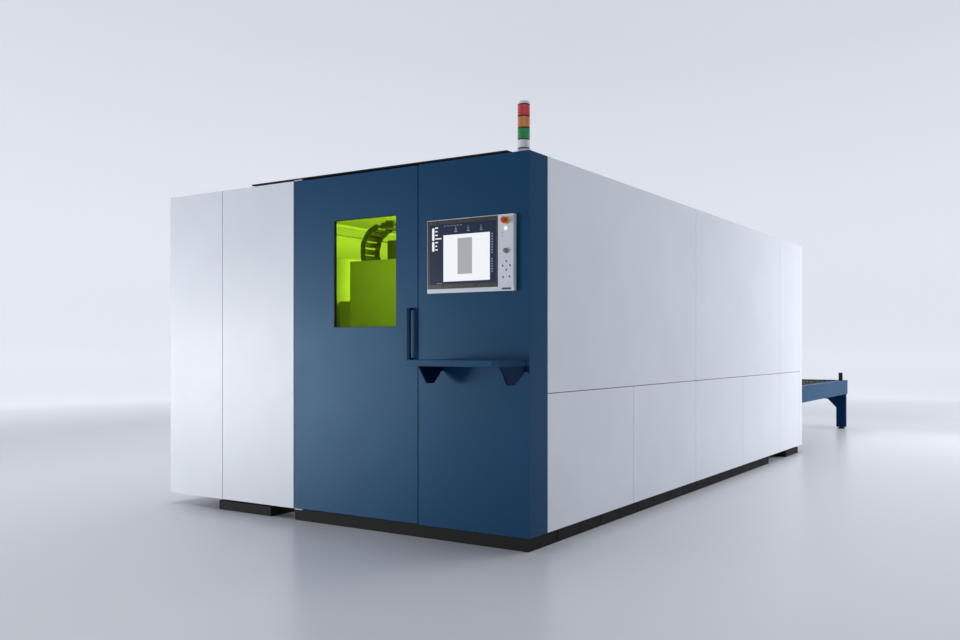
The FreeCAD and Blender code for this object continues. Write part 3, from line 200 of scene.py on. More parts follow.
def lit_field(name, colour, strength):
    """A lit area of the screen: its colour glows evenly, with the fine grid of the display's cells."""
    finish = Finish(name, 0.4, IOR=1.3)
    cells = finish.noise(1800.0, 0.0)
    tint = finish.blend(cells, shade(colour, 0.97), colour)
    finish.colour(finish.blend(cells, shade(colour, 0.2), shade(colour, 0.25)))
    finish.glow(tint, strength)
    return finish.material


def safety_glass():
    """Laser safety pane: clear yellow-green sheet with a faint streak in its colour."""
    deep, pale = (0.53, 0.88, 0.022), (0.57, 0.92, 0.028)
    finish = Finish("laser_safety_pane", 0.02, Transmission_Weight=1.0, IOR=1.02)
    streak = finish.noise(3.0, 2.0, (1.0, 1.0, 0.2))
    finish.colour(finish.blend(streak, deep, pale))
    return finish.material


def lens(name, colour, glow):
    """Translucent lens with a soft glow of its own colour, painted light, in lighter and darker upright streaks,
    painted highlights and shade.
    """
    finish = Finish(name, 0.16, Coat_Weight=1.0, Coat_Roughness=0.08)
    # Painted highlights and shade: upright streaks of lighter and darker colour; the glow carries them as painted
    # light.
    cloud = finish.noise(30.0, 2.0, (1.0, 1.0, 0.15))
    tint = finish.blend(finish.spread(cloud, 0.35, 0.65, 0.0, 1.0), shade(colour, 0.6), colour)
    finish.colour(tint)
    finish.glow(tint, glow)
    finish.bump(finish.noise(420.0, 1.0), 0.0001, 0.5)
    return finish.material


def slag_steel():
    """Steel of the slats after much cutting: dark scale with patches of bright spatter."""
    burnt, bright = (0.10, 0.085, 0.075), (0.34, 0.33, 0.32)
    finish = Finish("slat_steel", 0.5, 0.85)
    patches = finish.spread(finish.noise(26.0, 5.0), 0.42, 0.62, 0.0, 1.0)
    finish.colour(finish.blend(patches, burnt, bright))
    finish.rough(finish.spread(finish.noise(80.0, 3.0), 0.3, 0.7, 0.4, 0.7))
    finish.bump(finish.noise(240.0, 4.0), 0.0004, 0.7)
    return finish.material


BLUE = (0.004, 0.044, 0.112)
# Painted shade: the blue enamel darkened for the navy_paint slot, whose parts lie in shade.
BLUE_IN_PAINTED_SHADE = (0.0010, 0.011, 0.042)
# Painted shade: the table legs' blue enamel darkened, because the legs lie in shade.
LEG_BLUE_IN_PAINTED_SHADE = (0.002, 0.024, 0.088)
WHITE = (0.68, 0.71, 0.76)
SILVER = (0.70, 0.73, 0.79)
CHARCOAL = (0.022, 0.022, 0.021)
GREY = (0.50, 0.53, 0.54)
DARK_GREY = (0.26, 0.27, 0.27)
BLUE_SHEEN = (0.38, 0.70, 1.0, 1.0)

blue_paint = powder_coat("blue_enamel", BLUE, 0.42, IOR=1.36, Specular_Tint=BLUE_SHEEN)
# Painted shade: a darker copy of the blue enamel for faces that lie in shade.
navy_paint = powder_coat("blue_enamel_painted_shade", BLUE_IN_PAINTED_SHADE, 0.5, IOR=1.22, Specular_Tint=BLUE_SHEEN)
# Painted shade: the table legs take this darker copy of the blue enamel.
leg_paint_painted_shade = powder_coat("leg_enamel_painted_shade", LEG_BLUE_IN_PAINTED_SHADE, 0.5, IOR=1.22, Specular_Tint=BLUE_SHEEN)
white_paint = powder_coat("light_grey_coat", WHITE, 0.4, IOR=1.4)
silver_paint = powder_coat("console_silver", SILVER, 0.34, 1600.0)
charcoal_paint = powder_coat("charcoal_coat", CHARCOAL, 0.65, IOR=1.18)
grey_paint = powder_coat("frame_grey_coat", GREY, 0.5)
dark_grey_paint = powder_coat("gantry_grey_coat", DARK_GREY, 0.5)
ground_steel = brushed("ground_steel", (0.42, 0.43, 0.43), 0.34, 1)
slat_steel = slag_steel()
satin_aluminium = brushed("satin_aluminium", (0.62, 0.64, 0.68), 0.32, 2)
nozzle_copper = brushed("nozzle_copper", (0.75, 0.42, 0.20), 0.25, 2)
black_plastic = moulded("black_plastic", (0.012, 0.012, 0.013), 0.42)
bezel_plastic = moulded("bezel_plastic", (0.030, 0.028, 0.028), 0.3)
key_plastic = moulded("key_plastic", (0.05, 0.055, 0.07), 0.45)
# Dark green-black rubber for the door seal; on the window's reveal the same colour is painted shade.
rubber_and_reveal_shade = moulded("rubber_and_reveal_shade", (0.006, 0.014, 0.012), 0.7, 500.0)
red_plastic = moulded("red_plastic", (0.62, 0.03, 0.015), 0.28)
yellow_plastic = moulded("yellow_plastic", (0.80, 0.48, 0.06), 0.4)
pale_plastic = moulded("pale_plastic", (0.76, 0.78, 0.81), 0.35)
chain_plastic = moulded("chain_plastic", (0.15, 0.16, 0.15), 0.5)
knob_plastic = moulded("knob_plastic", (0.16, 0.165, 0.18), 0.4)
ring_plastic = moulded("ring_plastic", (0.05, 0.03, 0.02), 0.4)
lit_button = lit_field("lit_button", (0.95, 0.97, 1.0), 0.85)
screen_field = lit_field("screen_field", (0.007, 0.016, 0.050), 0.7)
screen_canvas = lit_field("screen_canvas", (0.88, 0.90, 0.93), 0.85)
screen_shape = lit_field("screen_shape", (0.36, 0.38, 0.40), 0.9)
screen_marks = lit_field("screen_marks", (0.24, 0.28, 0.36), 0.8)
safety_pane = safety_glass()
# Painted light: all three lenses glow alike at this strength.
lens_green = lens("lens_green", (0.008, 0.26, 0.065), 0.22)
lens_amber = lens("lens_amber", (0.62, 0.22, 0.05), 0.22)
lens_red = lens("lens_red", (0.60, 0.035, 0.045), 0.22)

FINISH_OF_SLOT = {
    "blue_paint": blue_paint, "navy_paint": navy_paint, "white_paint": white_paint,
    "charcoal_paint": charcoal_paint, "grey_paint": grey_paint, "steel": ground_steel,
    "aluminium": satin_aluminium, "brass": nozzle_copper, "safety_pane": safety_pane,
    "screen_glass": bezel_plastic, "black_plastic": black_plastic, "red_plastic": red_plastic,
    "yellow_plastic": yellow_plastic, "white_plastic": pale_plastic, "lens_green": lens_green,
    "lens_amber": lens_amber, "lens_red": lens_red,
}
FINISH_OF_NODE = {
    "console_housing": silver_paint, "console_keypad": silver_paint, "gantry_beam": grey_paint,
    "gantry_trucks": grey_paint, "head_carriage": dark_grey_paint, "start_button": lit_button,
    "override_knob": knob_plastic, "table_legs": leg_paint_painted_shade,
}
SLOT_OF_NODE = {part["node"]: part["material_slot"] for part in frame["record"]["subparts"]}


def finish_of(node):
    """The material of a CAD node: its own, or that of its slot."""
    return FINISH_OF_NODE.get(node, FINISH_OF_SLOT[SLOT_OF_NODE[node]])


def dress_nodes():
    """Every CAD node takes its finish."""
    for node in SLOT_OF_NODE:
        obj = NODES[node]
        if not obj.material_slots:
            obj.data.materials.append(finish_of(node))
        for material_slot in obj.material_slots:
            material_slot.material = finish_of(node)


# ---- Surfaces ---------------------------------------------------------------------------------------

def shell(rings):
    """A closed skin over rings of points: four-sided faces between neighbouring rings, a face on each end.

    rings is an array (ring, point, xyz). Each ring runs anticlockwise seen from the last ring's side.
    """
    rows, columns = rings.shape[:2]
    index = np.arange(rows * columns).reshape(rows, columns)
    beside = np.roll(index, -1, axis=1)
    quads = np.stack((index[:-1], beside[:-1], beside[1:], index[1:]), axis=-1).reshape(-1, 4)
    ends = [index[0][::-1].tolist(), index[-1].tolist()]
    return rings.reshape(-1, 3), quads.tolist() + ends


def piece(name, shells, material, body, replaces=(), smooth=30.0):
    """One object from closed skins, riding on a body. Edges sharper than smooth degrees stay crisp."""
    points = np.concatenate([part[0] for part in shells])
    starts = np.cumsum([0] + [len(part[0]) for part in shells[:-1]])
    faces = [[corner + int(start) for corner in face] for start, part in zip(starts, shells)
             for face in part[1]]
    mesh = bpy.data.meshes.new(name)
    mesh.from_pydata(points.tolist(), [], faces)
    work = bmesh.new()
    work.from_mesh(mesh)
    bmesh.ops.recalc_face_normals(work, faces=work.faces)
    work.to_mesh(mesh)
    work.free()
    mesh.polygons.foreach_set("use_smooth", np.ones(len(faces), bool))
    mesh.set_sharp_from_angle(angle=math.radians(smooth))
    mesh.materials.append(material)
    obj = bpy.data.objects.new(name, mesh)
    bpy.context.collection.objects.link(obj)
    if replaces:
        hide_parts(*replaces)
    if body:
        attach(obj, body)
    return obj


def turned(profile, centre, axis="z", segments=48):
    """Rings of one radius each, stacked along an axis: x = r cos a, y = r sin a at every (r, height)."""
    radius, height = np.array(profile, float).T
    angle = np.linspace(0.0, 2 * math.pi, segments, endpoint=False)
    across = radius[:, None] * np.cos(angle)
    up = radius[:, None] * np.sin(angle)
    along = np.repeat(height[:, None], segments, axis=1)
    order = {"z": (across, up, along), "x": (along, across, up), "-x": (-along, up, across),
             "-y": (across, -along, up)}[axis]
    return shell(np.stack(order, axis=-1) + np.array(centre))


def rounded_outline(width, height, radius, corner=6):
    """A rectangle with round corners about its middle: each corner's centre plus radius (cos a, sin a)."""
    turn = np.linspace(0.0, math.pi / 2, corner)
    angle = (turn[None, :] + np.arange(4)[:, None] * math.pi / 2).ravel()
    side = np.repeat([[1, 1], [-1, 1], [-1, -1], [1, -1]], corner, axis=0)
    middle = side * np.array([width / 2 - radius, height / 2 - radius])
    return middle + radius * np.stack((np.cos(angle), np.sin(angle)), axis=-1)


def facing_plate(left, right, bottom, top, back, front, radius, edge=0.0006, corner=6):
    """A plate that faces the operator: its rounded outline carried from back to front, with an eased edge."""
    least_radius = 0.0001
    width, height = right - left, top - bottom
    wide = rounded_outline(width, height, radius, corner)
    slim = rounded_outline(width - 2 * edge, height - 2 * edge, max(radius - edge, least_radius), corner)
    middle = np.array([(left + right) / 2, (bottom + top) / 2])
    rings = [np.insert(outline + middle, 1, depth, axis=1)
             for outline, depth in ((wide, back), (wide, front + edge), (slim, front))]
    return shell(np.stack(rings))


def block(corner, opposite):
    """A block with eased edges: a rounded outline in X and Y carried up, drawn in at both ends."""
    radius, spare = 0.002, 0.0002
    corner, opposite = np.array(corner, float), np.array(opposite, float)
    width, depth, height = opposite - corner
    middle = (corner + opposite) / 2
    rows = []
    for inset, z in ((radius, 0.0), (0.0, radius), (0.0, height - radius), (radius, height)):
        outline = rounded_outline(width - 2 * inset, depth - 2 * inset, radius + spare, 3)
        rows.append(np.column_stack((outline + middle[:2], np.full(len(outline), corner[2] + z))))
    return shell(np.stack(rows))


def eased(node, width):
    """The node's own shape with rounded edges: a merged copy, its flat faces joined, then bevelled."""
    merge_distance = 0.00001
    mesh = NODES[node].data.copy()
    work = bmesh.new()
    work.from_mesh(mesh)
    bmesh.ops.remove_doubles(work, verts=work.verts, dist=merge_distance)
    bmesh.ops.dissolve_limit(work, angle_limit=math.radians(1.0), verts=work.verts, edges=work.edges)
    work.to_mesh(mesh)
    work.free()
    mesh.name = f"{node}_eased"
    mesh.polygons.foreach_set("use_smooth", np.zeros(len(mesh.polygons), bool))
    mesh.materials.clear()
    mesh.materials.append(finish_of(node))
    obj = bpy.data.objects.new(f"{node}_eased", mesh)
    bpy.context.collection.objects.link(obj)
    bevel = obj.modifiers.new("edges", "BEVEL")
    bevel.width = width
    bevel.segments = 2
    bevel.limit_method = "ANGLE"
    bevel.angle_limit = math.radians(40)
    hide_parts(node)
    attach(obj, BODY_OF_NODE[node])


# Node and the width of its eased edges.
EASED_EDGES = {
    "panel_front_outer": 0.0016, "panel_front_inner": 0.0016, "panels_right_upper": 0.0016,
    "panels_right_lower": 0.0016, "panels_left_upper": 0.0016, "panels_left_lower": 0.0016,
    "operator_panel": 0.0018, "rear_wall": 0.0016, "shelf": 0.0012, "shelf_brackets": 0.0025,
    "door_handle": 0.003, "console_housing": 0.0025, "roof_cover": 0.0015, "plinth": 0.002,
    "foot_pads": 0.003, "table_legs": 0.004, "end_stops": 0.004,
    "gantry_hood": 0.001, "head_carriage": 0.004, "control_cabinet": 0.002, "laser_source": 0.002,
    "cooling_unit": 0.002, "head_slide": 0.004,
}


# ---- Door and window --------------------------------------------------------------------------------

def frame_strip(left, right, bottom, top, front, back, reach):
    """A closed rubber ring lining an opening: a flat section carried round the rectangle."""
    rows = []
    for outset, depth in ((0.0, front), (reach, front), (reach, back), (0.0, back)):
        x = np.array([left - outset, right + outset, right + outset, left - outset])
        z = np.array([bottom - outset, bottom - outset, top + outset, top + outset])
        rows.append(np.stack((x, np.full(4, depth), z), axis=-1))
    section = np.stack(rows, axis=1)
    count, sides = section.shape[:2]
    index = np.arange(count * sides).reshape(count, sides)
    ahead = np.roll(index, -1, axis=0)
    beside = np.roll(index, -1, axis=1)
    both = np.roll(ahead, -1, axis=1)
    quads = np.stack((index, ahead, both, beside), axis=-1).reshape(-1, 4)
    return section.reshape(-1, 3), quads.tolist()


def window_reveal_shade():
    """Dark lining in the window's reveal, painted shade of the reveal: a flat section carried round the opening,
    up to the pane.

    The opening is the pane's outline less the margin that the door covers.
    """
    margin, lining, reveal, play = 0.015, 0.003, 0.0205, 0.0002
    pane_low, pane_high = low("door_window"), high("door_window")
    left, right = pane_low[0] + margin + lining, pane_high[0] - margin - lining
    bottom, top = pane_low[2] + margin + lining, pane_high[2] - margin - lining
    pane = pane_low[1]
    ring = frame_strip(left, right, bottom, top, pane - reveal, pane - play, lining - play)
    # Painted shade: the lining's dark colour stands for the shade on the reveal's walls.
    piece("window_reveal_shade", [ring], rubber_and_reveal_shade, "door")


def door_seal():
    """Rubber strip just inside the door's folded edge: a flat section carried round the door's back."""
    inset, width, rooted, proud = 0.008, 0.014, 0.012, 0.003
    door_low, door_high = low("operator_door"), high("operator_door")
    back = door_high[1]
    ring = frame_strip(door_low[0] + inset + width, door_high[0] - inset - width,
                       door_low[2] + inset + width, door_high[2] - inset - width,
                       back - rooted, back + proud, width)
    piece("door_seal", [ring], rubber_and_reveal_shade, "door")


# ---- Console ----------------------------------------------------------------------------------------

class Screen:
    """The screen's face in its own millimetres, from its lower left corner."""
    corner = low("console_screen")
    sunk, layer_step, edge = 0.0005, 0.0003, 0.0001

    def field(self, left, right, bottom, top, layer, radius=1.0):
        """A thin plate on the screen, with its front that many layer steps before the screen."""
        x, face, z = self.corner
        return facing_plate(x + left / 1000, x + right / 1000, z + bottom / 1000, z + top / 1000,
                            face + self.sunk, face - self.layer_step * layer, radius / 1000, self.edge, 4)


def screen_picture():
    """Fields of the user interface: dark ground, lit canvas with a plate on it, and rows of small marks.

    Each field is given by its left, right, bottom and top on the screen, and its layer.
    """
    screen = Screen()

    def show(name, fields, material):
        """One piece of the picture, on the screen's own slot."""
        piece(name, fields, material, "machine")

    show("screen_ground", [screen.field(15, 470, 26, 372, 1, 3.0)], screen_field)
    show("screen_canvas", [screen.field(114, 431, 41, 308, 2)], screen_canvas)
    show("screen_plate", [screen.field(213, 312, 81, 286, 3)], screen_shape)
    pills = [screen.field(34, 50, 219, 274, 2, 4.0), screen.field(34, 50, 281, 353, 2, 4.0)]
    pills += [screen.field(56, 56 + width, 224 + 21 * row, 231 + 21 * row, 2)
              for row, width in enumerate((18, 14, 20, 44, 18, 16, 20))]
    show("screen_side_keys", pills, screen_canvas)
    marks = [screen.field(442, 450, 84 + 14 * row, 91 + 14 * row, 2) for row in range(6)]
    marks += [screen.field(442, 450, 188 + 15 * row, 196 + 15 * row, 2) for row in range(8)]
    for column, left in enumerate((190, 276, 364)):
        for row in range(4):
            right, bottom = left + 22 - 3 * row - 2 * column, 322 + 9 * row
            marks.append(screen.field(left + 2 * row, right, bottom, bottom + 4, 2))
    marks += [screen.field(118 + 22 * step, 134 + 22 * step, 359, 362, 2) for step in range(6)]
    marks.append(screen.field(68, 104, 30, 33, 2))
    show("screen_marks", marks, screen_marks)


def key_strip_details():
    """Arrow keys, two more keys, lamps and the port cover on the silver part of the console.

    Keys and covers are rounded plates, lamps are turned domes. All are set out from the key strip's foot,
    about the middle of the start button.
    """
    face = low("console_keypad")[1]
    rim = low("console_housing")[1]
    x = low("start_button")[0] / 2 + high("start_button")[0] / 2
    base = low("console_keypad")[2]
    sunk, key_proud, key_radius = 0.0005, 0.0015, 0.0025
    arrows_z = base + 0.115
    step = 0.024
    half_wide = 0.0045
    half_tall = half_wide * 1.2
    spots = [(x, arrows_z + step), (x, arrows_z - step), (x - step, arrows_z), (x + step, arrows_z),
             (x - 0.021, base + 0.052), (x + 0.021, base + 0.054)]
    keys = [facing_plate(u - half_wide, u + half_wide, v - half_tall, v + half_tall, face + sunk,
                         face - key_proud, key_radius) for u, v in spots]
    piece("console_keys", keys, key_plastic, "machine")
    dome = [(0.0026, -0.001), (0.0026, 0.0015), (0.0016, 0.0024)]
    lamps = [turned(dome, (x - 0.026, face, base + height), "-y", 16) for height in (0.278, 0.298)]
    piece("console_lamps", lamps, key_plastic, "machine")
    cover = facing_plate(x - 0.032, x + 0.030, base - 0.0165, base - 0.0065, rim + sunk, rim - 0.0016,
                         0.0048)
    piece("port_cover", [cover], key_plastic, "machine")
    plate = facing_plate(x - 0.012, x + 0.012, base + 0.018, base + 0.026, face + sunk, face - 0.0008,
                         0.002)
    piece("port_label_plate", [plate], pale_plastic, "machine")


# ---- Signal tower -----------------------------------------------------------------------------------

def signal_tower():
    """Turned base, lenses with upright ribs, dark rings between them and a domed cap.

    A lens is a stack of rings. At angle a its radius is the profile's radius times 1 + rib_depth cos(ribs a).
    """
    centre = (low("tower_green") + high("tower_green"))[:2] / 2
    radius = (high("tower_green") - low("tower_green"))[0] / 2
    ring = 0.004
    ribs, rib_depth = 24, 0.012

    def at(node):
        """Middle of the node's foot."""
        return (*centre, low(node)[2])

    def height(node):
        """How tall the node is."""
        return high(node)[2] - low(node)[2]

    foot = height("tower_base")
    neck_low, neck_high, ease, play = 0.029, 0.037, 0.001, 0.0002
    base = [(radius, play), (radius, neck_low - ease), (radius * 0.95, neck_low),
            (radius * 0.95, neck_high), (radius * 0.99, neck_high + ease), (radius * 0.99, foot - 0.010),
            (radius * 0.96, foot - ease), (radius * 0.9, foot)]
    piece("tower_foot", [turned(base, at("tower_base"))], pale_plastic, "machine",
          ["tower_base"])
    band = [(radius * 0.955, neck_low + play), (radius * 0.975, (neck_low + neck_high) / 2),
            (radius * 0.955, neck_high - play)]
    rings = [turned(band, at("tower_base"))]
    for colour, material in (("green", lens_green), ("amber", lens_amber), ("red", lens_red)):
        node = f"tower_{colour}"
        tall = height(node)
        edge = np.array([(radius * 0.93, ring), (radius * 0.985, ring + 0.002),
                         (radius * 0.985, tall - 0.004), (radius * 0.93, tall - 0.002)])
        angle = np.linspace(0.0, 2 * math.pi, 6 * ribs, endpoint=False)
        swell = edge[:, :1] * (1.0 + rib_depth * np.cos(ribs * angle))
        points = np.stack((swell * np.cos(angle), swell * np.sin(angle),
                           np.repeat(edge[:, 1:], len(angle), axis=1)), axis=-1)
        piece(f"{node}_lens", [shell(points + np.array(at(node)))], material, "machine",
              [node])
        rings.append(turned([(radius * 0.9, 0.0), (radius * 0.97, 0.0006), (radius * 0.97, ring),
                             (radius * 0.9, ring + 0.0006)], at(node)))
    lid = height("tower_cap")
    rings.append(turned([(radius * 0.9, 0.0), (radius * 0.97, 0.0004), (radius * 0.97, 0.003),
                         (radius * 0.9, 0.0034)], at("tower_cap")))
    turn = np.linspace(0.0, math.pi / 2, 8)
    round_off = 0.010
    dome = [(radius * 0.99, 0.0032), (radius, lid - 0.012)]
    dome += list(zip(radius - round_off + round_off * np.cos(turn),
                     lid - round_off + round_off * np.sin(turn)))
    dome.append((0.004, lid))
    piece("tower_lid", [turned(dome, at("tower_cap"))], pale_plastic, "machine",
          ["tower_cap"])
    piece("tower_rings", rings, ring_plastic, "machine")


# ---- Energy chain -----------------------------------------------------------------------------------

LINK_PITCH = 0.054
LINK_HEIGHT = 0.045
PLATE_THICK = 0.007
BAR_INSET = 0.004


def chain_frame():
    """Middle of the bend in X and Z, its middle radius and the chain's front and back faces."""
    chain_low, chain_high = low("energy_chain"), high("energy_chain")
    outer = (chain_high[2] - chain_low[2]) / 2
    centre = np.array([chain_low[0] + outer, chain_low[2] + outer])
    return centre, outer - LINK_HEIGHT / 2, chain_low[1], chain_high[1]


def placed_link(points, middle, heading):
    """Link points (along, y, out) set at middle in X and Z, turned so that along points to heading."""
    along, y, out = points[..., 0], points[..., 1], points[..., 2]
    x = middle[0] + along * math.cos(heading) - out * math.sin(heading)
    z = middle[1] + along * math.sin(heading) + out * math.cos(heading)
    return np.stack((x, y, z), axis=-1)


def side_plate(front, back):
    """A link's side plate, one rounded outline carried across its thickness. It laps over the next link's."""
    lap, end_radius = 0.014, LINK_HEIGHT * 0.42
    outline = rounded_outline(LINK_PITCH + lap, LINK_HEIGHT, end_radius, 5)
    return np.stack([np.insert(outline, 1, y, axis=1) for y in (back, front)])


def crossbar(front, back, out, half_length=0.017):
    """A flat bar across the chain at one height of the link: a rectangle carried from back to front."""
    half_thick = 0.0022
    along = np.array([-half_length, half_length, half_length, -half_length])
    up = np.array([-half_thick, -half_thick, half_thick, half_thick]) + out
    return np.stack([np.stack((along, np.full(4, y), up), axis=-1) for y in (back, front)])


def chain_links():
    """Links along the lower run and round the bend: two plates and two crossbars each, with pivots between.

    Travel starts at the run's right end. Past the run, a link is turned by t = (travel - run) / radius, at
    x = middle - radius sin t and z = middle - radius cos t.
    """
    centre, radius, front, back = chain_frame()
    stagger, pivot_sunk = 0.0045, 0.0012
    run = high("energy_chain")[0] - centre[0]
    bend = math.pi * radius
    count = int((run + bend) / LINK_PITCH)
    shells = []
    for number in range(count):
        travel = (number + 0.5) * LINK_PITCH
        if travel < run:
            middle, heading = (centre[0] + run - travel, centre[1] - radius), math.pi
        else:
            turn = (travel - run) / radius
            middle = (centre[0] - radius * math.sin(turn), centre[1] - radius * math.cos(turn))
            heading = math.pi - turn
        step = stagger * (number % 2)
        parts = [side_plate(plate_front, plate_front + PLATE_THICK)
                 for plate_front in (front + step, back - PLATE_THICK - step)]
        parts += [crossbar(front + PLATE_THICK + step, back - PLATE_THICK - step, out)
                  for out in (LINK_HEIGHT / 2 - BAR_INSET, BAR_INSET - LINK_HEIGHT / 2)]
        shells += [shell(placed_link(part, middle, heading)) for part in parts]
    pivot = [(0.011, 0.0), (0.011, 0.001), (0.008, 0.0022)]
    for number in range(1, count):
        travel = number * LINK_PITCH
        turn = max(travel - run, 0.0) / radius
        x = centre[0] + max(run - travel, 0.0) - radius * math.sin(turn)
        z = centre[1] - radius * math.cos(turn)
        shells.append(turned(pivot, (x, front + pivot_sunk, z), "-y", 16))
    piece("energy_chain_links", shells, chain_plastic, "chain", ["energy_chain"])


def upper_chain():
    """Upper run from the bend to the carriage's arm: two side bands and closely set rungs that draw apart.

    Drawn out in full, a point at share s of the run has moved by s s (3 - 2 s) of the travel. A rung's place
    at rest is read back from that, so that the rungs then stand a link apart.
    """
    centre, radius, front, back = chain_frame()
    band_inset, band_slim, rung_half_length = 0.002, 0.001, 0.0012
    start = centre[0]
    end = high("head_carriage")[0]
    travel = next(j for j in frame["joints"] if j["name"] == "carriage_travel")["range_m"][1] / 2
    share = np.linspace(0.0, 1.0, 400)
    drawn = share * (end - start) + share ** 2 * (3 - 2 * share) * travel
    rung_drawn = np.arange(LINK_PITCH / 2, drawn[-1], LINK_PITCH)
    rung_rest = start + (end - start) * np.interp(rung_drawn, drawn, share)
    z = centre[1] + radius
    stations = np.linspace(start, end, 25)
    shells = []
    for face in (front + band_inset, back - band_inset - PLATE_THICK):
        y = np.array([face + PLATE_THICK, face, face, face + PLATE_THICK])
        up = np.array([-1, -1, 1, 1]) * (LINK_HEIGHT / 2 - band_slim) + z
        rings = np.empty((len(stations), 4, 3))
        rings[:, :, 0] = stations[:, None]
        rings[:, :, 1] = y
        rings[:, :, 2] = up
        shells.append(shell(rings[:, ::-1]))
    for x in rung_rest:
        for out in (LINK_HEIGHT / 2 - BAR_INSET, BAR_INSET - LINK_HEIGHT / 2):
            bar = crossbar(front + PLATE_THICK, back - PLATE_THICK, out, rung_half_length)
            shells.append(shell(placed_link(bar, (x, z), 0.0)))
    band = piece("energy_chain_upper", shells, chain_plastic, None)
    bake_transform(band)


# ---- Pallet and its table ---------------------------------------------------------------------------

def pallet_slats():
    """Upright slats with teeth: low at each tooth's ends, high over its tip, straight slopes between.

    tooth is a tooth's length, about which the slat's length is shared out, and tip is its flat share.
    """
    slats_low, slats_high = low("pallet_slats"), high("pallet_slats")
    pitch, thick, tooth, tooth_height, tip = 0.1, 0.004, 0.036, 0.016, 0.12
    left, right = slats_low[0], slats_high[0]
    teeth = int((right - left) / tooth)
    share = np.array([0.0, 0.5 - tip / 2, 0.5 + tip / 2])
    x = (left + (np.arange(teeth)[:, None] + share) * (right - left) / teeth).ravel()
    x = np.append(x, right)
    rise = np.append(np.tile([0.0, 1.0, 1.0], teeth), 0.0)
    top = slats_high[2] - tooth_height * (1.0 - rise)
    count = int(round((slats_high[1] - slats_low[1] - thick) / pitch)) + 1
    shells = []
    for number in range(count):
        y = slats_low[1] + pitch * number
        ring = np.empty((len(x), 4, 3))
        ring[:, :, 0] = x[:, None]
        ring[:, :, 1] = (y, y + thick, y + thick, y)
        ring[:, :2, 2] = slats_low[2]
        ring[:, 2, 2] = top
        ring[:, 3, 2] = top
        shells.append(shell(ring))
    piece("toothed_slats", shells, slat_steel, "pallet", ["pallet_slats"], 20.0)


def pallet_wheels():
    """Flanged wheels: a profile of radius against width, with tread, dished face and hub, turned about X."""
    axle, dish = 0.012, 0.005
    for side, sign in (("left", -1), ("right", 1)):
        for row in ("front", "rear"):
            node = f"wheel_{side}_{row}"
            wheel_low, wheel_high = low(node), high(node)
            radius = (wheel_high[2] - wheel_low[2]) / 2
            width = wheel_high[0] - wheel_low[0]
            centre = (wheel_low + wheel_high) / 2
            centre[0] = wheel_low[0] if sign > 0 else wheel_high[0]
            profile = [(axle, 0.0), (radius * 0.9, 0.0), (radius, 0.002), (radius, width - 0.003),
                       (radius - 0.002, width - 0.001), (radius * 0.8, width - 0.001),
                       (radius * 0.74, width - dish), (radius * 0.48, width - dish),
                       (radius * 0.42, width), (axle, width)]
            piece(f"{node}_turned", [turned(profile, centre, "x" if sign > 0 else "-x", 40)], ground_steel,
                  BODY_OF_NODE[node], [node])


def table_fittings():
    """Six-sided nuts on the levelling feet, under the middle of each leg: a short profile turned about Z."""
    legs_low, legs_high = low("table_legs"), high("table_legs")
    middle_y = (legs_low[1] + legs_high[1]) / 2
    half_leg, nut_top, nut_height = 0.0625, 0.022, 0.018
    nut = [(0.014, 0.0), (0.014, 0.016), (0.012, nut_height)]
    screws = [turned(nut, (x, middle_y, nut_top - nut_height), "z", 6)
              for x in (legs_low[0] + half_leg, legs_high[0] - half_leg)]
    piece("table_screws", screws, ground_steel, "machine")


# ---- Cutting head -----------------------------------------------------------------------------------

def cutting_head():
    """Turned head body with clamp rings, a lens drawer and a copper nozzle with a fine tip.

    Body and nozzle are profiles of radius against height, turned about the head's middle.
    """
    head_low, head_high = low("cutting_head"), high("cutting_head")
    centre = ((head_low + head_high) / 2)[:2]
    radius = (head_high - head_low)[0] / 2
    tall = head_high[2] - head_low[2]
    body = [(radius * 0.55, 0.0), (radius * 0.62, 0.004), (radius * 0.62, 0.026), (radius * 0.7, 0.030),
            (radius * 0.72, 0.036), (radius * 0.96, 0.052), (radius * 0.96, 0.080), (radius * 0.9, 0.082),
            (radius * 0.9, 0.088), (radius * 0.96, 0.090), (radius * 0.96, 0.130), (radius, 0.134),
            (radius, tall - 0.006), (radius * 0.94, tall)]
    piece("cutting_head_body", [turned(body, (*centre, head_low[2]))], satin_aluminium, "head",
          ["cutting_head"])
    drawer = block((centre[0] - radius * 0.55, centre[1] + radius * 0.55, head_low[2] + 0.094),
                   (centre[0] + radius * 0.55, centre[1] + radius * 1.05, head_low[2] + 0.126))
    piece("lens_drawer", [drawer], black_plastic, "head")
    tip_low, tip_high = low("nozzle"), high("nozzle")
    wide = (tip_high - tip_low)[0] / 2
    cone = [(0.0012, 0.0), (0.004, 0.0002), (0.006, 0.002), (wide * 0.62, 0.020), (wide * 0.66, 0.026),
            (wide * 0.92, 0.027), (wide, 0.030), (wide, 0.046), (wide * 0.9, 0.048), (wide * 0.9, 0.060)]
    piece("nozzle_turned", [turned(cone, (*centre, tip_low[2]))], nozzle_copper, "head", ["nozzle"])


# ---- Studio -----------------------------------------------------------------------------------------

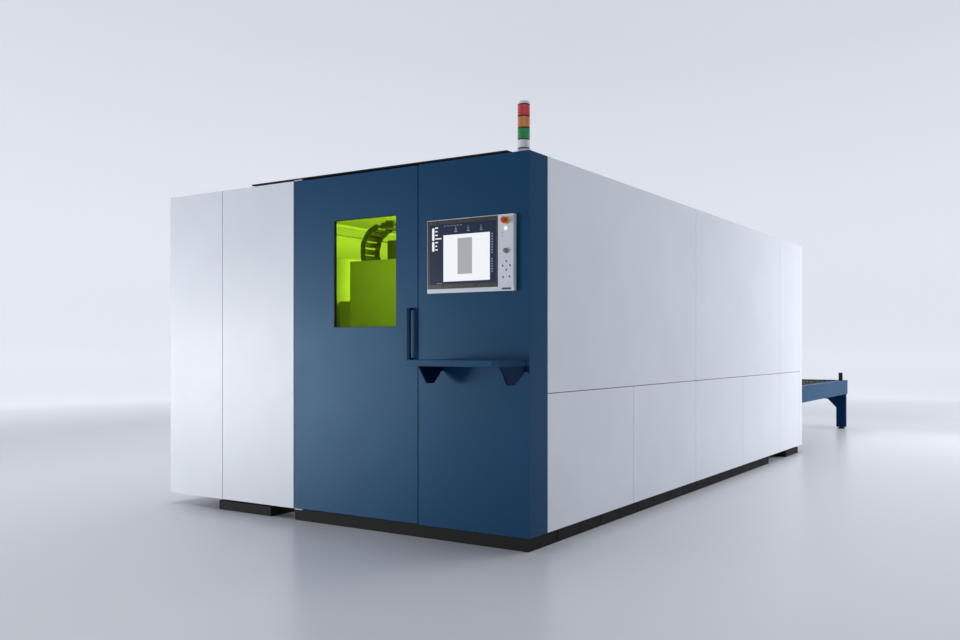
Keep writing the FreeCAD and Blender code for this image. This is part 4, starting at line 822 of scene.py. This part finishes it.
def studio_floor():
    """A pale floor that curves up into a round wall: x = r cos a, y = r sin a, with z up a quarter circle.

    The wall stands behind the machine and to its left. Elsewhere the floor stays flat out to its rim.
    """
    radius, corner, height = 17.0, 4.0, 12.0
    wall_start, wall_end = 78.0, 205.0
    glow_start, glow_end = 7.5, 15.5
    arc = np.linspace(0.0, math.pi / 2, 17)
    profile_r = np.concatenate(([0.0], radius - corner + corner * np.sin(arc), [radius]))
    profile_z = np.concatenate(([0.0], corner * (1 - np.cos(arc)), [height]))
    wall = np.radians(np.linspace(wall_start, wall_end, 49))
    open_side = np.radians(np.linspace(wall_end, wall_start + 360.0, 49))[1:-1]
    turn = np.concatenate((wall, open_side))
    lifted = np.concatenate((np.ones(len(wall)), np.zeros(len(open_side))))
    r, a = np.meshgrid(profile_r, turn, indexing="ij")
    z = profile_z[:, None] * lifted
    points = np.stack((r * np.cos(a), r * np.sin(a), z), axis=-1)
    rows, columns = r.shape
    index = np.arange(rows * columns).reshape(rows, columns)
    beside = np.roll(index, -1, axis=1)
    quads = np.stack((index[:-1], index[1:], beside[1:], beside[:-1]), axis=-1).reshape(-1, 4)
    mesh = bpy.data.meshes.new("studio_floor")
    mesh.from_pydata(points.reshape(-1, 3).tolist(), [], quads.tolist())
    mesh.polygons.foreach_set("use_smooth", np.ones(len(quads), bool))
    floor = bpy.data.objects.new("studio_floor", mesh)
    bpy.context.collection.objects.link(floor)
    finish = Finish("studio_floor", 0.3)
    cloud = finish.noise(0.3, 2.0)
    finish.colour(finish.blend(cloud, (0.57, 0.58, 0.615), (0.59, 0.60, 0.635)))
    distance = finish.node("ShaderNodeVectorMath", operation="LENGTH")
    finish.link(finish.place, distance.inputs[0])
    away = finish.spread(distance.outputs["Value"], glow_start, glow_end, 0.0, 1.0)
    finish.glow(finish.blend(away, (0.0, 0.0, 0.0), (0.42, 0.43, 0.455)), 1.0)
    floor.data.materials.append(finish.material)


def area_light(name, place, aim, width, depth, power, mirrored=True, spread=180.0):
    """A soft rectangular light at place, facing aim. Gloss shows it only if it is mirrored."""
    data = bpy.data.lights.new(name, "AREA")
    data.shape = "RECTANGLE"
    data.size = width
    data.size_y = depth
    data.energy = power
    data.spread = math.radians(spread)
    light = bpy.data.objects.new(name, data)
    light.location = place
    light.rotation_euler = (Vector(aim) - Vector(place)).to_track_quat("-Z", "Y").to_euler()
    light.visible_camera = False
    light.visible_glossy = mirrored
    bpy.context.collection.objects.link(light)


def lights():
    """Even ambient light, soft boxes front left and along the right side, a top light and lamps inside."""
    ambient_strength = 0.35
    world = bpy.data.worlds.new("studio")
    bpy.context.scene.world = world
    world.use_nodes = True
    tree = world.node_tree
    ambient = tree.nodes["Background"]
    ambient.inputs["Color"].default_value = (0.80, 0.88, 1.0, 1.0)
    ambient.inputs["Strength"].default_value = ambient_strength
    backdrop = tree.nodes.new("ShaderNodeBackground")
    backdrop.inputs["Color"].default_value = (0.68, 0.71, 0.77, 1.0)
    seen = tree.nodes.new("ShaderNodeLightPath")
    either = tree.nodes.new("ShaderNodeMixShader")
    tree.links.new(seen.outputs["Is Camera Ray"], either.inputs["Fac"])
    tree.links.new(ambient.outputs["Background"], either.inputs[1])
    tree.links.new(backdrop.outputs["Background"], either.inputs[2])
    tree.links.new(either.outputs["Shader"], tree.nodes["World Output"].inputs["Surface"])
    area_light("front_left", (-6.4, FRONT_Y - 5.6, 0.85), (-0.5, FRONT_Y, 0.45),
               width=3.8, depth=1.4, power=132, spread=105.0)
    area_light("side_rear", (8.0, 8.0, 2.1), (1.5, 2.5, 1.2),
               width=6.0, depth=2.4, power=345, mirrored=False, spread=130.0)
    area_light("side_near", (4.6, 5.0, 1.6), (1.5, 0.8, 1.3),
               width=2.0, depth=1.5, power=46, mirrored=False, spread=110.0)
    area_light("top", (0.0, 0.0, 9.5), (0.0, 0.0, 0.0), width=12.0, depth=14.0, power=960, mirrored=False)
    area_light("inside_front", (0.3, FRONT_Y + 0.3, 1.65), (0.3, FRONT_Y + 1.2, 1.4),
               width=1.4, depth=0.7, power=3.2)
    area_light("inside_left", (0.5, FRONT_Y + 2.0, 1.6), (-1.4, FRONT_Y + 2.2, 1.6),
               width=1.0, depth=0.5, power=40)
    area_light("inside_rear", (0.3, FRONT_Y + 2.9, 1.68), (0.0, FRONT_Y + 3.6, 0.6),
               width=1.6, depth=1.0, power=60)


def camera():
    """Level camera before the operator panel's right corner, at about the height of the shelf."""
    beside, before, eye_height, turned_left = 2.5306, 4.3753, 1.1254, 33.106
    data = bpy.data.cameras.new("camera")
    data.lens = 34.70
    data.sensor_width = 36.0
    data.shift_y = 0.0278
    data.clip_end = 200.0
    made = bpy.data.objects.new("camera", data)
    made.location = (RIGHT_X + beside, FRONT_Y - before, eye_height)
    made.rotation_euler = (math.pi / 2, 0.0, math.radians(turned_left))
    bpy.context.collection.objects.link(made)
    bpy.context.scene.camera = made
    bpy.context.scene.view_settings.view_transform = "Standard"


dress_nodes()
for eased_node, edge_width in EASED_EDGES.items():
    eased(eased_node, edge_width)
window_reveal_shade()
door_seal()
screen_picture()
key_strip_details()
signal_tower()
chain_links()
upper_chain()
pallet_slats()
pallet_wheels()
table_fittings()
cutting_head()
studio_floor()
lights()
camera()
